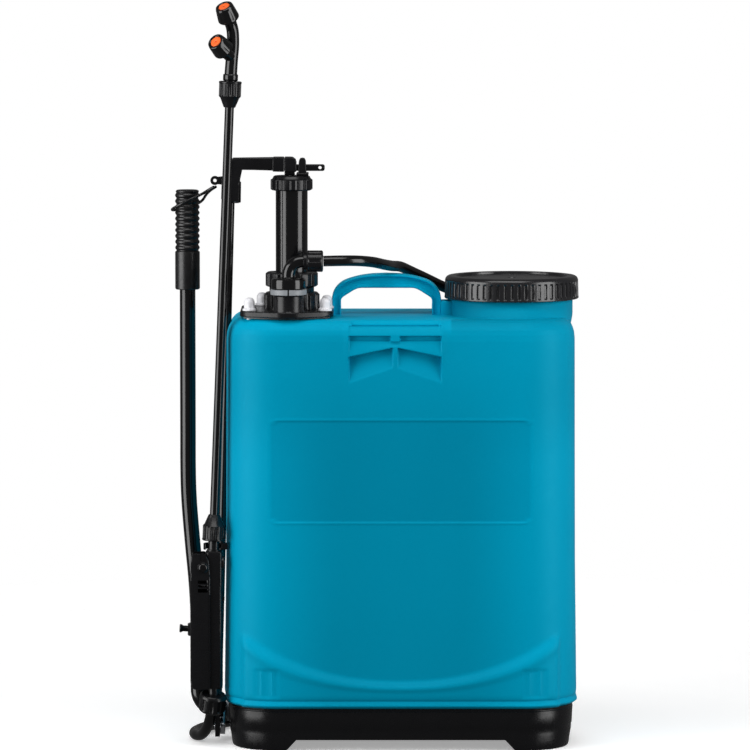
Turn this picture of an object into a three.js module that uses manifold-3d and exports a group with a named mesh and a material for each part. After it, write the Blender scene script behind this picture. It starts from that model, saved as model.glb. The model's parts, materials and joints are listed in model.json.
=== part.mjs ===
// Lever-operated knapsack sprayer with a 20 litre tank. Millimetres, +Z up.
// +X is the right-hand side seen from the front panel, +Y runs from the front panel to the
// harness that the wearer carries it by, and the feet stand on Z = 0.
import * as THREE from "three";
import { mergeVertices } from "three/addons/utils/BufferGeometryUtils.js";
import Module from "manifold-3d";

// Driving dimensions. Depths (y) are measured from the tank's mid-plane.
const GAP = 0.3;
const tank = {
  x: 26,
  halfWidth: 190,
  halfDepth: 95.5,
  corner: 60,
  bottom: 46.3,
  deck: 463,
  wall: 3,
};
const handle = { left: -48, right: 69.7, top: 507, post: 9.8, bar: 15, halfDepth: 14 };
const pocket = { depth: 12, guard: 3.2 };
const neck = { x: 146, radius: 66, thread: 62, bore: 56, shoulder: 480, top: 497 };
const cap = { radius: 72.5, bottom: 480.4, top: 505, wall: 4, disc: 59, discDepth: 2.5 };
const base = {
  halfWidth: 186,
  halfDepth: 97,
  corner: 58,
  height: 46,
  deck: 5,
  wall: 3.5,
  arch: 12,
  sole: 3.5,
};
const pump = {
  x: -91.2,
  y: -24,
  barrel: 17.2,
  bore: 14.7,
  bottom: 75,
  top: 606,
  rod: 3.5,
  collar: 30,
};
const plate = { bottom: 464.9, top: 471, screw: 3 };
const outlet = { x: -94, y: -72.5, radius: 18.5, seat: 488.7, top: 507, pipe: 6.75, pipeZ: 525 };
const lever = { x: -205, y: 25, tube: 8.5, shaftZ: 28, lowX: -194.4, bend: 22, shaftEnd: -50 };
const grip = { bottom: 488, top: 596, radius: 13.4 };
const crank = { radius: 38, restAngle: 22, pin: 4, left: -169.4, right: -164.5 };
const rod = { radius: 4.25, y: -12, topX: -156.6, topZ: 600, bottomX: -172.5, bottomZ: 30 };
const foot = { left: -175, right: -170, clearance: 1.7 };
const arm = { top: 633, bottom: 620, halfDepth: 8, left: -155, split: -99.2 };
const lance = { y: -60, x: -174.9, z: 232, topX: -156.2, topZ: 708, radius: 4.5 };
const nozzle = { stem: 6.6, capLength: 18, capRim: 9.4, capBase: 11.6, tip: 6 };
const spray = { x: -173.75, y: -60, bottom: 63, top: 212.5, halfWidth: 8.25, halfDepth: 8 };
const trigger = { x: -186.2, z: 195.2, left: -200, right: -178.4, bottom: 63, top: 211 };
const valve = { z: 175, stem: 2, bore: 5.2 };
const hose = { radius: 5.75, steps: 54 };
const loop = { radius: 1.5 };
const strap = { spread: 75, splay: 50, halfWidth: 22, thick: 4, out: 153 };
const pad = { halfWidth: 30, thick: 13 };
const holder = { bar: 3.5, out: 103 };

const footprintShift = -(strap.out - base.halfDepth) / 2;
const wasm = await Module();
wasm.setup();

// ---------------------------------------------------------------- solids

// A closed three.js geometry as a solid that can be joined and cut.
function solid(geometry) {
  const plain = geometry.index ? geometry.toNonIndexed() : geometry.clone();
  plain.deleteAttribute("normal");
  plain.deleteAttribute("uv");
  const merged = mergeVertices(plain, 1e-4);
  const index = merged.index.array;
  const faces = [];
  for (let i = 0; i < index.length; i += 3) {
    const [a, b, c] = index.slice(i, i + 3);
    if (a !== b && b !== c && c !== a) faces.push([a, b, c]);
  }
  const build = (triangles) =>
    new wasm.Manifold(
      new wasm.Mesh({
        numProp: 3,
        vertProperties: merged.attributes.position.array,
        triVerts: new Uint32Array(triangles.flat()),
      }),
    );
  const made = build(faces);
  return made.volume() > 0 ? made : build(faces.map(([a, b, c]) => [a, c, b]));
}

function geometryOf(made) {
  const { vertProperties, triVerts } = made.getMesh();
  const geometry = new THREE.BufferGeometry();
  geometry.setAttribute("position", new THREE.BufferAttribute(new Float32Array(vertProperties), 3));
  geometry.setIndex(new THREE.BufferAttribute(new Uint32Array(triVerts), 1));
  geometry.computeVertexNormals();
  return geometry;
}

const joined = (...solids) => solids.reduce((whole, part) => whole.add(part));
const cut = (whole, ...tools) => tools.reduce((left, tool) => left.subtract(tool), whole);

// Turns a geometry built up +Z from the origin to run along a direction from a point.
function aimed(geometry, at, along) {
  const turn = new THREE.Quaternion().setFromUnitVectors(
    new THREE.Vector3(0, 0, 1),
    new THREE.Vector3(...along).normalize(),
  );
  return geometry.applyQuaternion(turn).translate(...at);
}

// A profile of [radius, height] pairs turned about its own axis.
function turned(profile, { at = [0, 0, 0], along = [0, 0, 1], sides = 16 } = {}) {
  const points = profile.map(([r, h]) => new THREE.Vector2(r, h));
  const geometry = new THREE.LatheGeometry(points, sides).rotateX(Math.PI / 2);
  return solid(aimed(geometry, at, along));
}

function rodBetween(from, to, radius, sides = 16) {
  const a = new THREE.Vector3(...from);
  const step = new THREE.Vector3(...to).sub(a);
  const long = step.length();
  const profile = [
    [0, 0],
    [radius, 0],
    [radius, long],
    [0, long],
  ];
  return turned(profile, { at: from, along: step.toArray(), sides });
}

// A cutter whose flats, not its corners, lie at the stated radius.
function bore(from, to, radius, sides = 16) {
  return rodBetween(from, to, radius / Math.cos(Math.PI / sides), sides);
}

function ring(inner, outer, low, high, { at = [0, 0, 0], along, sides = 16 } = {}) {
  const clear = inner / Math.cos(Math.PI / sides);
  const profile = [
    [clear, low],
    [outer, low],
    [outer, high],
    [clear, high],
    [clear, low],
  ];
  return turned(profile, { at, along, sides });
}

function block([x0, x1], [y0, y1], [z0, z1]) {
  const geometry = new THREE.BoxGeometry(x1 - x0, y1 - y0, z1 - z0);
  return solid(geometry.translate((x0 + x1) / 2, (y0 + y1) / 2, (z0 + z1) / 2));
}

const shapeOf = (points) => new THREE.Shape(points.map(([u, v]) => new THREE.Vector2(u, v)));

function extruded(points, depth) {
  return new THREE.ExtrudeGeometry(shapeOf(points), { depth, bevelEnabled: false });
}

const slabZ = (points, z0, z1) => solid(extruded(points, z1 - z0).translate(0, 0, z0));

// An outline of [x, z] points, thick from y0 to y1.
function slabY(points, y0, y1) {
  return solid(extruded(points, y1 - y0).rotateX(Math.PI / 2).translate(0, y1, 0));
}

// An outline of [y, z] points, thick from x0 to x1.
function slabX(points, x0, x1) {
  const turn = new THREE.Matrix4().makeBasis(
    new THREE.Vector3(0, 1, 0),
    new THREE.Vector3(0, 0, 1),
    new THREE.Vector3(1, 0, 0),
  );
  return solid(extruded(points, x1 - x0).applyMatrix4(turn).translate(x0, 0, 0));
}

function circle(radius, count, [u, v] = [0, 0]) {
  const step = (Math.PI * 2) / count;
  return Array.from({ length: count }, (_, i) => [
    u + radius * Math.cos(i * step),
    v + radius * Math.sin(i * step),
  ]);
}

// A grip outline whose radius steps in and out once for each lobe.
function lobed(radius, depth, lobes, centre) {
  const out = circle(radius, lobes * 2, centre);
  const dip = circle(radius - depth, lobes * 2, centre);
  return out.map((point, i) => (i % 2 ? dip[i] : point));
}

// Two circles in one plane and the tangents between them, as one outline.
function linkOutline([u0, v0], r0, [u1, v1], r1, perEnd = 9) {
  const facing = Math.atan2(v1 - v0, u1 - u0);
  const lean = Math.acos((r0 - r1) / Math.hypot(u1 - u0, v1 - v0));
  const end = (u, v, r, from, to) =>
    Array.from({ length: perEnd }, (_, i) => {
      const a = from + ((to - from) * i) / (perEnd - 1);
      return [u + r * Math.cos(a), v + r * Math.sin(a)];
    });
  return [
    ...end(u1, v1, r1, facing - lean, facing + lean),
    ...end(u0, v0, r0, facing + lean, facing + 2 * Math.PI - lean),
  ];
}

// A path through stated stations, so that bends can be fine and straights coarse.
class Route extends THREE.Curve {
  constructor(points) {
    super();
    this.points = points;
  }
  getPoint(t, target = new THREE.Vector3()) {
    const at = t * (this.points.length - 1);
    const i = Math.min(Math.floor(at + 1e-6), this.points.length - 2);
    return target.lerpVectors(this.points[i], this.points[i + 1], at - i);
  }
  getTangent(t, target = new THREE.Vector3()) {
    const i = Math.round(t * (this.points.length - 1));
    const before = this.points[Math.max(i - 1, 0)];
    const here = this.points[i];
    const after = this.points[Math.min(i + 1, this.points.length - 1)];
    const into = here.clone().sub(before).normalize();
    const onward = after.clone().sub(here).normalize();
    return target.addVectors(into, onward).normalize();
  }
  getPointAt(u, target) {
    return this.getPoint(u, target);
  }
  getTangentAt(u, target) {
    return this.getTangent(u, target);
  }
}

function tube(points, radius, sides = 12) {
  const extrudePath = new Route(points);
  const steps = points.length - 1;
  return solid(new THREE.ExtrudeGeometry(shapeOf(circle(radius, sides)), { steps, extrudePath }));
}

// A straight-sided path with each inner corner rounded to its own radius.
function rounded(corners, radii, arcSteps = 6) {
  const v = corners.map((point) => new THREE.Vector3(...point));
  const path = [v[0]];
  radii.forEach((radius, k) => {
    const corner = v[k + 1];
    const back = v[k].clone().sub(corner).normalize();
    const on = v[k + 2].clone().sub(corner).normalize();
    const half = back.angleTo(on) / 2;
    const centre = back.clone().add(on).normalize().multiplyScalar(radius / Math.sin(half));
    centre.add(corner);
    const from = corner.clone().addScaledVector(back, radius / Math.tan(half)).sub(centre);
    const to = corner.clone().addScaledVector(on, radius / Math.tan(half)).sub(centre);
    const sweep = Math.PI - 2 * half;
    for (let i = 0; i <= arcSteps; i++) {
      const s = i / arcSteps;
      const point = from.clone().multiplyScalar(Math.sin((1 - s) * sweep) / Math.sin(sweep));
      point.addScaledVector(to, Math.sin(s * sweep) / Math.sin(sweep));
      path.push(point.add(centre));
    }
  });
  path.push(v[v.length - 1]);
  return path;
}

function smooth(points, steps) {
  const through = points.map((point) => new THREE.Vector3(...point));
  return new THREE.CatmullRomCurve3(through, false, "centripetal").getSpacedPoints(steps);
}

function roundedOutline(halfWidth, halfDepth, corner, perCorner = 5) {
  const signs = [
    [1, 1],
    [-1, 1],
    [-1, -1],
    [1, -1],
  ];
  return signs.flatMap(([sx, sy], quarter) =>
    Array.from({ length: perCorner + 1 }, (_, i) => {
      const a = ((quarter + i / perCorner) * Math.PI) / 2;
      return [
        sx * (halfWidth - corner) + corner * Math.cos(a),
        sy * (halfDepth - corner) + corner * Math.sin(a),
      ];
    }),
  );
}

// A body through rounded-rectangle sections, each a [height, inset] pair of a shell's size.
function lofted(shell, sections) {
  const positions = [];
  const faces = [];
  const outlines = sections.map(([, inset]) => {
    const corner = Math.max(shell.corner - inset, 8);
    return roundedOutline(shell.halfWidth - inset, shell.halfDepth - inset, corner);
  });
  const count = outlines[0].length;
  outlines.forEach((outline, k) =>
    outline.forEach(([x, y]) => positions.push(tank.x + x, y, sections[k][0])),
  );
  for (let k = 0; k < sections.length - 1; k++) {
    for (let i = 0; i < count; i++) {
      const a = k * count + i;
      const b = k * count + ((i + 1) % count);
      faces.push(a, b, b + count, a, b + count, a + count);
    }
  }
  const last = (sections.length - 1) * count;
  for (let i = 1; i < count - 1; i++) {
    faces.push(0, i + 1, i, last, last + i, last + i + 1);
  }
  const geometry = new THREE.BufferGeometry();
  geometry.setAttribute("position", new THREE.Float32BufferAttribute(positions, 3));
  geometry.setIndex(faces);
  return solid(geometry);
}

// ---------------------------------------------------------------- tank and base

const rodLean = (rod.topX - rod.bottomX) / (rod.topZ - rod.bottomZ);
const rodX = (z) => rod.bottomX + rodLean * (z - rod.bottomZ);

function tankSections(inset) {
  const { bottom, deck } = tank;
  return [
    [bottom + inset, 7 + inset],
    [52 + inset * 0.6, 1.4 + inset],
    [66, inset],
    [200, 1.8 + inset],
    [330, 2.4 + inset],
    [440, 2.8 + inset],
    [452 - inset * 0.6, 4.5 + inset],
    [459 - inset, 8 + inset],
    [deck - inset, 15 + inset],
  ];
}

// Each pocket is a slanted window pressed into the front under the handle.
function pocketOutlines() {
  return [
    [
      [-28.6, 421.7],
      [17.8, 431.5],
      [17.8, 407.7],
      [-28.6, 400.1],
    ],
    [
      [23.2, 431.5],
      [68.6, 421.7],
      [68.6, 399],
      [23.2, 408.8],
    ],
  ];
}

function handleArch() {
  const { left, right, top, post, bar, halfDepth } = handle;
  const outer = [
    [left - 4, tank.deck - 1],
    [left, tank.deck + 8],
    [left, top - 14],
    [left + 14, top - 4],
    [left + 42, top],
    [right - 42, top],
    [right - 14, top - 4],
    [right, top - 14],
    [right, tank.deck + 8],
    [right + 4, tank.deck - 1],
  ];
  const window = [
    [left + post, tank.deck + GAP * 10],
    [right - post, tank.deck + GAP * 10],
    [right - post, top - bar - 11],
    [right - post - 18, top - bar],
    [left + post + 18, top - bar],
    [left + post, top - bar - 11],
  ];
  return cut(slabY(outer, -halfDepth, halfDepth), slabY(window, -halfDepth - 1, halfDepth + 1));
}

// Two posts and a bar that a strap end is sewn round.
function strapHolder(x, wallY, z) {
  const reach = strap.halfWidth + 3;
  const posts = [-1, 1].map((side) => {
    const near = x + side * reach;
    return block([near - 2.5, near + 2.5], [wallY, holder.out + 4], [z - 6, z + 6]);
  });
  const bar = rodBetween([x - reach, holder.out, z], [x + reach, holder.out, z], holder.bar, 10);
  return joined(...posts, bar);
}

const strapX = (side, lower) => tank.x + side * (strap.spread + (lower ? strap.splay : 0));
const HOLDER_TOP = 431;
const HOLDER_LOW = 30;

function fillerNeck() {
  return turned(
    [
      [0, 459.5],
      [neck.radius, 459.5],
      [neck.radius, neck.shoulder - 0.4],
      [neck.thread, neck.shoulder - 0.4],
      [neck.thread, neck.top],
      [0, neck.top],
    ],
    { at: [neck.x, 0, 0], sides: 32 },
  );
}

function tankShell() {
  const groove = (radius) =>
    rodBetween([rodX(110), rod.y, 110], [rodX(480), rod.y, 480], radius, 12);
  const pockets = pocketOutlines().map((outline) =>
    slabY(outline, -tank.halfDepth - 2, -tank.halfDepth + pocket.depth),
  );
  const guard = block(
    [-28.6 - pocket.guard, 68.6 + pocket.guard],
    [-tank.halfDepth, -tank.halfDepth + pocket.depth + pocket.guard],
    [399 - pocket.guard, 431.5 + pocket.guard],
  );
  const cavity = cut(lofted(tank, tankSections(tank.wall)), guard, groove(9.4));
  const screws = plateScrewPlaces().map(([x, y]) =>
    bore([x, y, 455], [x, y, 466], plate.screw + GAP, 12),
  );
  const shell = joined(
    cut(lofted(tank, tankSections(0)), cavity),
    handleArch(),
    fillerNeck(),
    strapHolder(strapX(-1, false), tank.halfDepth - 4.5, HOLDER_TOP),
    strapHolder(strapX(1, false), tank.halfDepth - 4.5, HOLDER_TOP),
  );
  return cut(
    shell,
    groove(6.2),
    ...pockets,
    ...screws,
    bore([neck.x, 0, 440], [neck.x, 0, neck.top + 1], neck.bore, 32),
    bore([pump.x, pump.y, 440], [pump.x, pump.y, 470], pump.barrel + 4, 20),
  );
}

function baseSkirt() {
  const { height, wall, deck, arch, sole } = base;
  const outer = lofted(base, [
    [0, 4],
    [height * 0.4, 1.6],
    [height, 0],
  ]);
  const hollow = lofted(base, [
    [-1, 4 + wall],
    [height - deck, wall],
  ]);
  const soles = cut(
    lofted(base, [
      [0, 4.5],
      [sole, 4.5],
    ]),
    lofted(base, [
      [-1, 20],
      [sole + 1, 20],
    ]),
    block([-90, 142], [-200, 200], [-1, sole + 1]),
  );
  const archCut = slabY(
    [
      [-98, -1],
      [-86, arch],
      [138, arch],
      [150, -1],
    ],
    -base.halfDepth - 2,
    base.halfDepth + 2,
  );
  const rib = block([-66, -60], [-4, 60], [arch + 1, height - 1]);
  const boss = ring(11, 15, 0, 9, { at: [-159.2, lever.y, lever.shaftZ], along: [1, 0, 0] });
  const skirt = joined(
    cut(outer, hollow, archCut),
    soles,
    rib,
    boss,
    strapHolder(strapX(-1, true), base.halfDepth - 2.6, HOLDER_LOW),
    strapHolder(strapX(1, true), base.halfDepth - 2.6, HOLDER_LOW),
  );
  return cut(
    skirt,
    bore([-170, lever.y, lever.shaftZ], [-145, lever.y, lever.shaftZ], 11),
    bore([-70, lever.y, lever.shaftZ], [-55, lever.y, lever.shaftZ], 11),
  );
}

function shaftBush(x, flange) {
  const profile = [
    [lever.tube + GAP, 0],
    [12.6, 0],
    [12.6, flange],
    [10.6, flange],
    [10.6, 14],
    [lever.tube + GAP, 14],
    [lever.tube + GAP, 0],
  ];
  return turned(profile, { at: [x, lever.y, lever.shaftZ], along: [1, 0, 0] });
}

// ---------------------------------------------------------------- pump

const plateScrewPlaces = () => [
  [-136, -64],
  [-55, -64],
  [-124, 14],
  [-53.4, -26],
];

function plateOutline(inset = 0) {
  const left = -146 + inset;
  const right = -46 - inset;
  const front = -90 + inset;
  const back = 24 - inset;
  return [
    [left, -66],
    [left + 7, -74 + inset],
    [-102, front],
    [-88, front],
    [right - 7, -74 + inset],
    [right, -66],
    [right, -20 - inset],
    [right - 12, -12 - inset],
    [right - 12, back - 7],
    [right - 19, back],
    [left + 7, back],
    [left, back - 7],
  ];
}

function pumpFlange() {
  const { x, y, barrel, collar } = pump;
  const holes = plateScrewPlaces().map(([sx, sy]) =>
    bore([sx, sy, 460], [sx, sy, 475], plate.screw + GAP, 12),
  );
  const boss = turned(
    [
      [0, plate.top - 1],
      [16, plate.top - 1],
      [16, outlet.seat],
      [0, outlet.seat],
    ],
    { at: [outlet.x, outlet.y, 0] },
  );
  const collarRing = turned(
    [
      [0, plate.top - 1],
      [collar, plate.top - 1],
      [collar, 486],
      [collar - 2.5, 488.5],
      [24, 488.5],
      [24, 494.2],
      [0, 494.2],
    ],
    { at: [x, y, 0], sides: 32 },
  );
  const bridge = block([x - 12, x + 8], [-60, -50], [plate.top - 1, 486]);
  return cut(
    joined(slabZ(plateOutline(), plate.bottom, plate.top), boss, collarRing, bridge),
    bore([x, y, 460], [x, y, 500], barrel + GAP, 24),
    bore([outlet.x, outlet.y, 476], [outlet.x, outlet.y, 492], 5, 12),
    ...holes,
  );
}

function pumpGasket() {
  const holes = plateScrewPlaces().map(([sx, sy]) =>
    bore([sx, sy, 460], [sx, sy, 470], plate.screw + GAP, 12),
  );
  return cut(
    slabZ(plateOutline(4), tank.deck + GAP, plate.bottom - GAP),
    bore([pump.x, pump.y, 460], [pump.x, pump.y, 470], pump.barrel + 4, 24),
    ...holes,
  );
}

function plateScrew([x, y]) {
  const seat = plate.top + GAP;
  return turned(
    [
      [0, 456],
      [plate.screw, 456],
      [plate.screw, seat],
      [7.35, seat],
      [7.35, seat + 2.2],
      [5.75, seat + 2.2],
      [5.75, seat + 10],
      [4, seat + 13],
      [0, seat + 14],
    ],
    { at: [x, y, 0], sides: 10 },
  );
}

function cylinderNut() {
  return cut(
    slabZ(lobed(28.3, 1.6, 10, [pump.x, pump.y]), 494.5, 510.5),
    bore([pump.x, pump.y, 490], [pump.x, pump.y, 515], pump.barrel + GAP, 24),
  );
}

function pumpCylinder() {
  const { x, y, barrel, bottom, top } = pump;
  return ring(pump.bore, barrel, bottom, top, { at: [x, y, 0], sides: 24 });
}

function cylinderTopNut() {
  const { x, y, barrel, top } = pump;
  return cut(
    joined(
      slabZ(lobed(22.7, 1.4, 9, [x, y]), 598, 611),
      turned(
        [
          [0, 610],
          [20.8, 610],
          [18.5, 614],
          [0, 614],
        ],
        { at: [x, y, 0], sides: 24 },
      ),
    ),
    bore([x, y, 590], [x, y, top + GAP], barrel + GAP, 24),
    bore([x, y, 600], [x, y, 620], pump.rod + 0.4, 12),
  );
}

function rodGuide() {
  const plateUnder = block([-86, -73], [pump.y - 12, pump.y + 12], [614.3, 617.2]);
  const prongs = [-1, 1].map((side) => {
    const inner = pump.y + side * 4.6;
    const outer = pump.y + side * 8.4;
    const [low, high] = [Math.min(inner, outer), Math.max(inner, outer)];
    return block([-83.7, -75.7], [low, high], [617, 633]);
  });
  return joined(plateUnder, ...prongs);
}

function rodSeal() {
  const { x, y } = pump;
  return ring(pump.rod + 0.35, pump.bore - 0.4, 598, 605.6, { at: [x, y, 0], sides: 16 });
}

function footValve() {
  const { x, y } = pump;
  const profile = [
    [5, 62],
    [12, 62],
    [12, 74.6],
    [14.2, 75.2],
    [14.2, 90],
    [5, 90],
    [5, 62],
  ];
  return turned(profile, { at: [x, y, 0], sides: 16 });
}

function suctionStrainer() {
  const { x, y } = pump;
  const profile = [
    [0, 53],
    [19, 53],
    [19, 73.8],
    [12.6, 73.8],
    [12.6, 71.5],
    [17, 71.5],
    [17, 55],
    [0, 55],
  ];
  return turned(profile, { at: [x, y, 0], sides: 16 });
}

const ball = (radius, [x, y, z]) =>
  solid(new THREE.SphereGeometry(radius, 8, 6).rotateX(Math.PI / 2).translate(x, y, z));

function outletValveCap() {
  const { x, y, radius, seat, top } = outlet;
  const body = turned(
    [
      [0, seat + GAP],
      [15.6, seat + GAP],
      [15.6, 495.3],
      [radius, 495.3],
      [radius, top - 2],
      [radius - 2, top],
      [0, top],
    ],
    { at: [x, y, 0], sides: 24 },
  );
  return cut(
    body,
    bore([x, y, seat - 1], [x, y, 504.6], 9, 12),
    bore([x, y, 500], [x, y, top + 1], 4, 12),
  );
}

function outletElbow() {
  const { x, y, top, pipe, pipeZ } = outlet;
  const path = rounded(
    [
      [x, y, top + GAP],
      [x, y, pipeZ],
      [-64, y, pipeZ],
    ],
    [12],
    5,
  );
  return cut(tube(path, pipe, 12), tube(path, 3.6, 8));
}

function hoseNutTop() {
  const { y, pipe, pipeZ } = outlet;
  const profile = [
    [pipe + GAP, 0],
    [9, 0],
    [9, 4],
    [11.7, 4],
    [11.7, 21],
    [4, 21],
    [4, 15],
    [pipe + GAP, 15],
    [pipe + GAP, 0],
  ];
  return turned(profile, { at: [-78, y, pipeZ], along: [1, 0, 0], sides: 14 });
}

// ---------------------------------------------------------------- lever and linkage

function leverTube() {
  const { x, y, lowX, bend, shaftZ, shaftEnd } = lever;
  const path = rounded(
    [
      [x, y, grip.top - 4],
      [x, y, 265],
      [lowX, y, 150],
      [lowX, y, shaftZ],
      [shaftEnd, y, shaftZ],
    ],
    [90, 90, bend],
    5,
  );
  return tube(path, lever.tube, 12);
}

function leverGrip() {
  const { bottom, top, radius } = grip;
  const inner = lever.tube + GAP;
  return turned(
    [
      [inner, bottom],
      [radius - 1, bottom],
      [radius, bottom + 2],
      [radius, top - 4],
      [radius - 3.5, top],
      [0, top],
      [0, top - 3.5],
      [inner, top - 3.5],
      [inner, bottom],
    ],
    { at: [lever.x, lever.y, 0], sides: 18 },
  );
}

function leverHook() {
  const z = 116;
  const collar = ring(lever.tube + 0.4, 11.6, z - 6.5, z + 6.5, {
    at: [lever.lowX, lever.y, 0],
    sides: 16,
  });
  const peg = turned(
    [
      [0, 10],
      [3.4, 10],
      [3.4, 17.5],
      [4.6, 20.6],
      [0, 20.6],
    ],
    { at: [lever.lowX, lever.y, z], along: [-1, 0, 0.06], sides: 12 },
  );
  return joined(collar, peg);
}

function crankPinPlace(turn = 0) {
  const a = THREE.MathUtils.degToRad(turn - crank.restAngle);
  return [lever.y - crank.radius * Math.cos(a), lever.shaftZ + crank.radius * Math.sin(a)];
}

function crankArm() {
  const [pinY, pinZ] = crankPinPlace();
  const { left, right, pin } = crank;
  const web = slabX(linkOutline([lever.y, lever.shaftZ], 13, [pinY, pinZ], 7.6), left, right);
  const shaftHole = bore([left - 1, lever.y, lever.shaftZ], [right + 1, lever.y, lever.shaftZ], 8.8);
  const pinRod = rodBetween([-176, pinY, pinZ], [right - 1, pinY, pinZ], pin, 14);
  return joined(cut(web, shaftHole), pinRod);
}

// The closed end that the crank pin slides in, along Y, as the lever swings.
function rodFoot() {
  const [pinY, pinZ] = crankPinPlace();
  const half = crank.pin + foot.clearance;
  const front = lever.y - crank.radius - crank.pin - 0.6;
  const back = crankPinPlace(72)[0] + crank.pin + 0.6;
  const wall = 3.4;
  const slot = block([foot.left - 1, foot.right + 1], [front, back], [pinZ - half, pinZ + half]);
  const low = pinZ - half - wall;
  const eye = block([foot.left, foot.right], [front - wall, back + wall], [low, pinZ + half + wall]);
  const socketZ = pinZ + half + wall + 3;
  const tongue = block([foot.left, foot.right], [rod.y - 6, rod.y + 5], [socketZ - 5, 34]);
  const socket = rodBetween([rodX(socketZ), rod.y, socketZ], [rodX(46), rod.y, 46], 6.5, 12);
  return cut(
    joined(eye, tongue, socket),
    slot,
    bore([rodX(29), rod.y, 29], [rodX(47), rod.y, 47], rod.radius + GAP, 12),
  );
}

const pullRod = () =>
  rodBetween([rodX(29.6), rod.y, 29.6], [rodX(612), rod.y, 612], rod.radius, 12);

function crossArm() {
  const { y } = pump;
  const { top, bottom, halfDepth, left, split } = arm;
  const beam = block([left, split], [y - halfDepth, y + halfDepth], [bottom, top]);
  const head = block([-111, split], [y - 10, y + 10], [618.3, 634]);
  const gusset = slabY(
    [
      [left - 6, 586],
      [-148.3, 586],
      [-147.5, 606],
      [-144.3, bottom + 1],
      [-144.3, top - 1],
      [left, top - 1],
      [left - 8, 612],
    ],
    y - halfDepth,
    rod.y + 7,
  );
  const socket = rodBetween([rodX(584), rod.y, 584], [rodX(617), rod.y, 617], 9.6, 16);
  const lugPlace = [-174, rod.y, 608];
  const lug = rodBetween([-174, rod.y - 2.6, 608], [-174, rod.y + 2.6, 608], 4.9, 14);
  const neckPiece = block([-173, -160], [rod.y - 2.6, rod.y + 2.6], [604, 612.5]);
  return cut(
    joined(beam, head, gusset, socket, lug, neckPiece),
    bore([rodX(580), rod.y, 580], [rodX(612.5), rod.y, 612.5], rod.radius + GAP, 12),
    bore([lugPlace[0], rod.y - 4, 608], [lugPlace[0], rod.y + 4, 608], 1.9, 8),
  );
}

// The half of the head that grips the piston rod, with the tail that runs in the guide.
function rodHead() {
  const { x, y } = pump;
  const half = slabY(
    [
      [arm.split + GAP, 618.3],
      [-86, 618.3],
      [-86, 630],
      [-89, 634],
      [arm.split + GAP, 634],
    ],
    y - 10,
    y + 10,
  );
  const tail = slabY(
    [
      [-88, 619],
      [-57, 619],
      [-55.6, 620.4],
      [-55.6, 624.6],
      [-57, 626],
      [-88, 626],
    ],
    y - 4,
    y + 4,
  );
  const neckPiece = rodBetween([-94.6, y, 614.4], [-94.6, y, 619.5], 4.3, 12);
  const step = block([-98.6, -88], [y - 6, y + 6], [614.4, 619]);
  return cut(
    joined(half, tail, neckPiece, step),
    bore([x, y, 610], [x, y, 631.5], pump.rod + GAP, 12),
    bore([-60.7, y - 5, 622.5], [-60.7, y + 5, 622.5], 1.8, 8),
  );
}

const pistonRod = () =>
  rodBetween([pump.x, pump.y, 108], [pump.x, pump.y, 631], pump.rod, 12);

function piston() {
  const { x, y } = pump;
  return ring(pump.rod + GAP, pump.bore - 0.7, 119, 134, { at: [x, y, 0], sides: 16 });
}

function pistonSeal() {
  const { x, y } = pump;
  const profile = [
    [pump.rod + GAP, 113],
    [pump.bore - 3, 113],
    [pump.bore - 0.35, 109],
    [pump.bore - 0.35, 118.6],
    [pump.rod + GAP, 118.6],
    [pump.rod + GAP, 113],
  ];
  return turned(profile, { at: [x, y, 0], sides: 16 });
}

// ---------------------------------------------------------------- filler cap

function fillerCap() {
  const { radius, bottom, top, wall, disc, discDepth } = cap;
  return turned(
    [
      [0, top - wall - discDepth],
      [68.2, top - wall - discDepth],
      [68.2, bottom],
      [radius - 0.6, bottom],
      [radius, bottom + 1],
      [radius, top - 3],
      [radius - 3, top],
      [disc + 1, top],
      [disc, top - discDepth],
      [0, top - discDepth],
    ],
    { at: [neck.x, 0, 0], sides: 30 },
  );
}

const lidUnderside = cap.top - cap.wall - cap.discDepth;
const basketRim = neck.top + GAP;

function capGasket() {
  return ring(46, 66, basketRim, lidUnderside - GAP, { at: [neck.x, 0, 0], sides: 24 });
}

function ventValve() {
  const profile = [
    [0, 484],
    [5, 484],
    [5, 488],
    [8, 488],
    [8, lidUnderside - GAP],
    [0, lidUnderside - GAP],
  ];
  return turned(profile, { at: [neck.x, 0, 0], sides: 12 });
}

function strainerBasket() {
  const top = neck.top - 4;
  const profile = [
    [0, 400],
    [44, 400],
    [51, top - 12],
    [55, top - 10],
    [55, top],
    [53, top],
    [53, top - 9],
    [49, top - 11],
    [42.2, 402],
    [0, 402],
  ];
  return turned(profile, { at: [neck.x, 0, 0], sides: 18 });
}

// ---------------------------------------------------------------- lance and spray handle

const lanceLean = Math.atan2(lance.topX - lance.x, lance.topZ - lance.z);
const lanceLength = Math.hypot(lance.topX - lance.x, lance.topZ - lance.z);

// Heights here run up the leaning lance from the middle of its lower nut.
const lanceTube = () => rodBetween([0, 0, 3], [0, 0, lanceLength - 3], lance.radius, 12);

function lanceNut() {
  return cut(
    joined(
      slabZ(lobed(12.2, 0.8, 8), -8.5, 8.5),
      turned(
        [
          [0, 8],
          [11, 8],
          [6, 19.5],
          [0, 19.5],
        ],
        { sides: 16 },
      ),
    ),
    bore([0, 0, 1], [0, 0, 21], lance.radius + 0.35, 12),
    bore([0, 0, -9.5], [0, 0, 1.5], 7, 12),
  );
}

const upperNozzle = {
  foot: [1.6, 0, lanceLength + 62],
  along: [-0.34, -0.48, 0.81],
  reach: 15,
};
const lowerNozzle = {
  foot: [0.5, 0, lanceLength + 33],
  along: [-0.52, -0.66, 0.54],
  reach: 15.5,
};

function alongNozzle({ foot: start, along }, distance) {
  const unit = new THREE.Vector3(...along).normalize();
  return start.map((value, i) => value + unit.getComponent(i) * distance);
}

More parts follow.
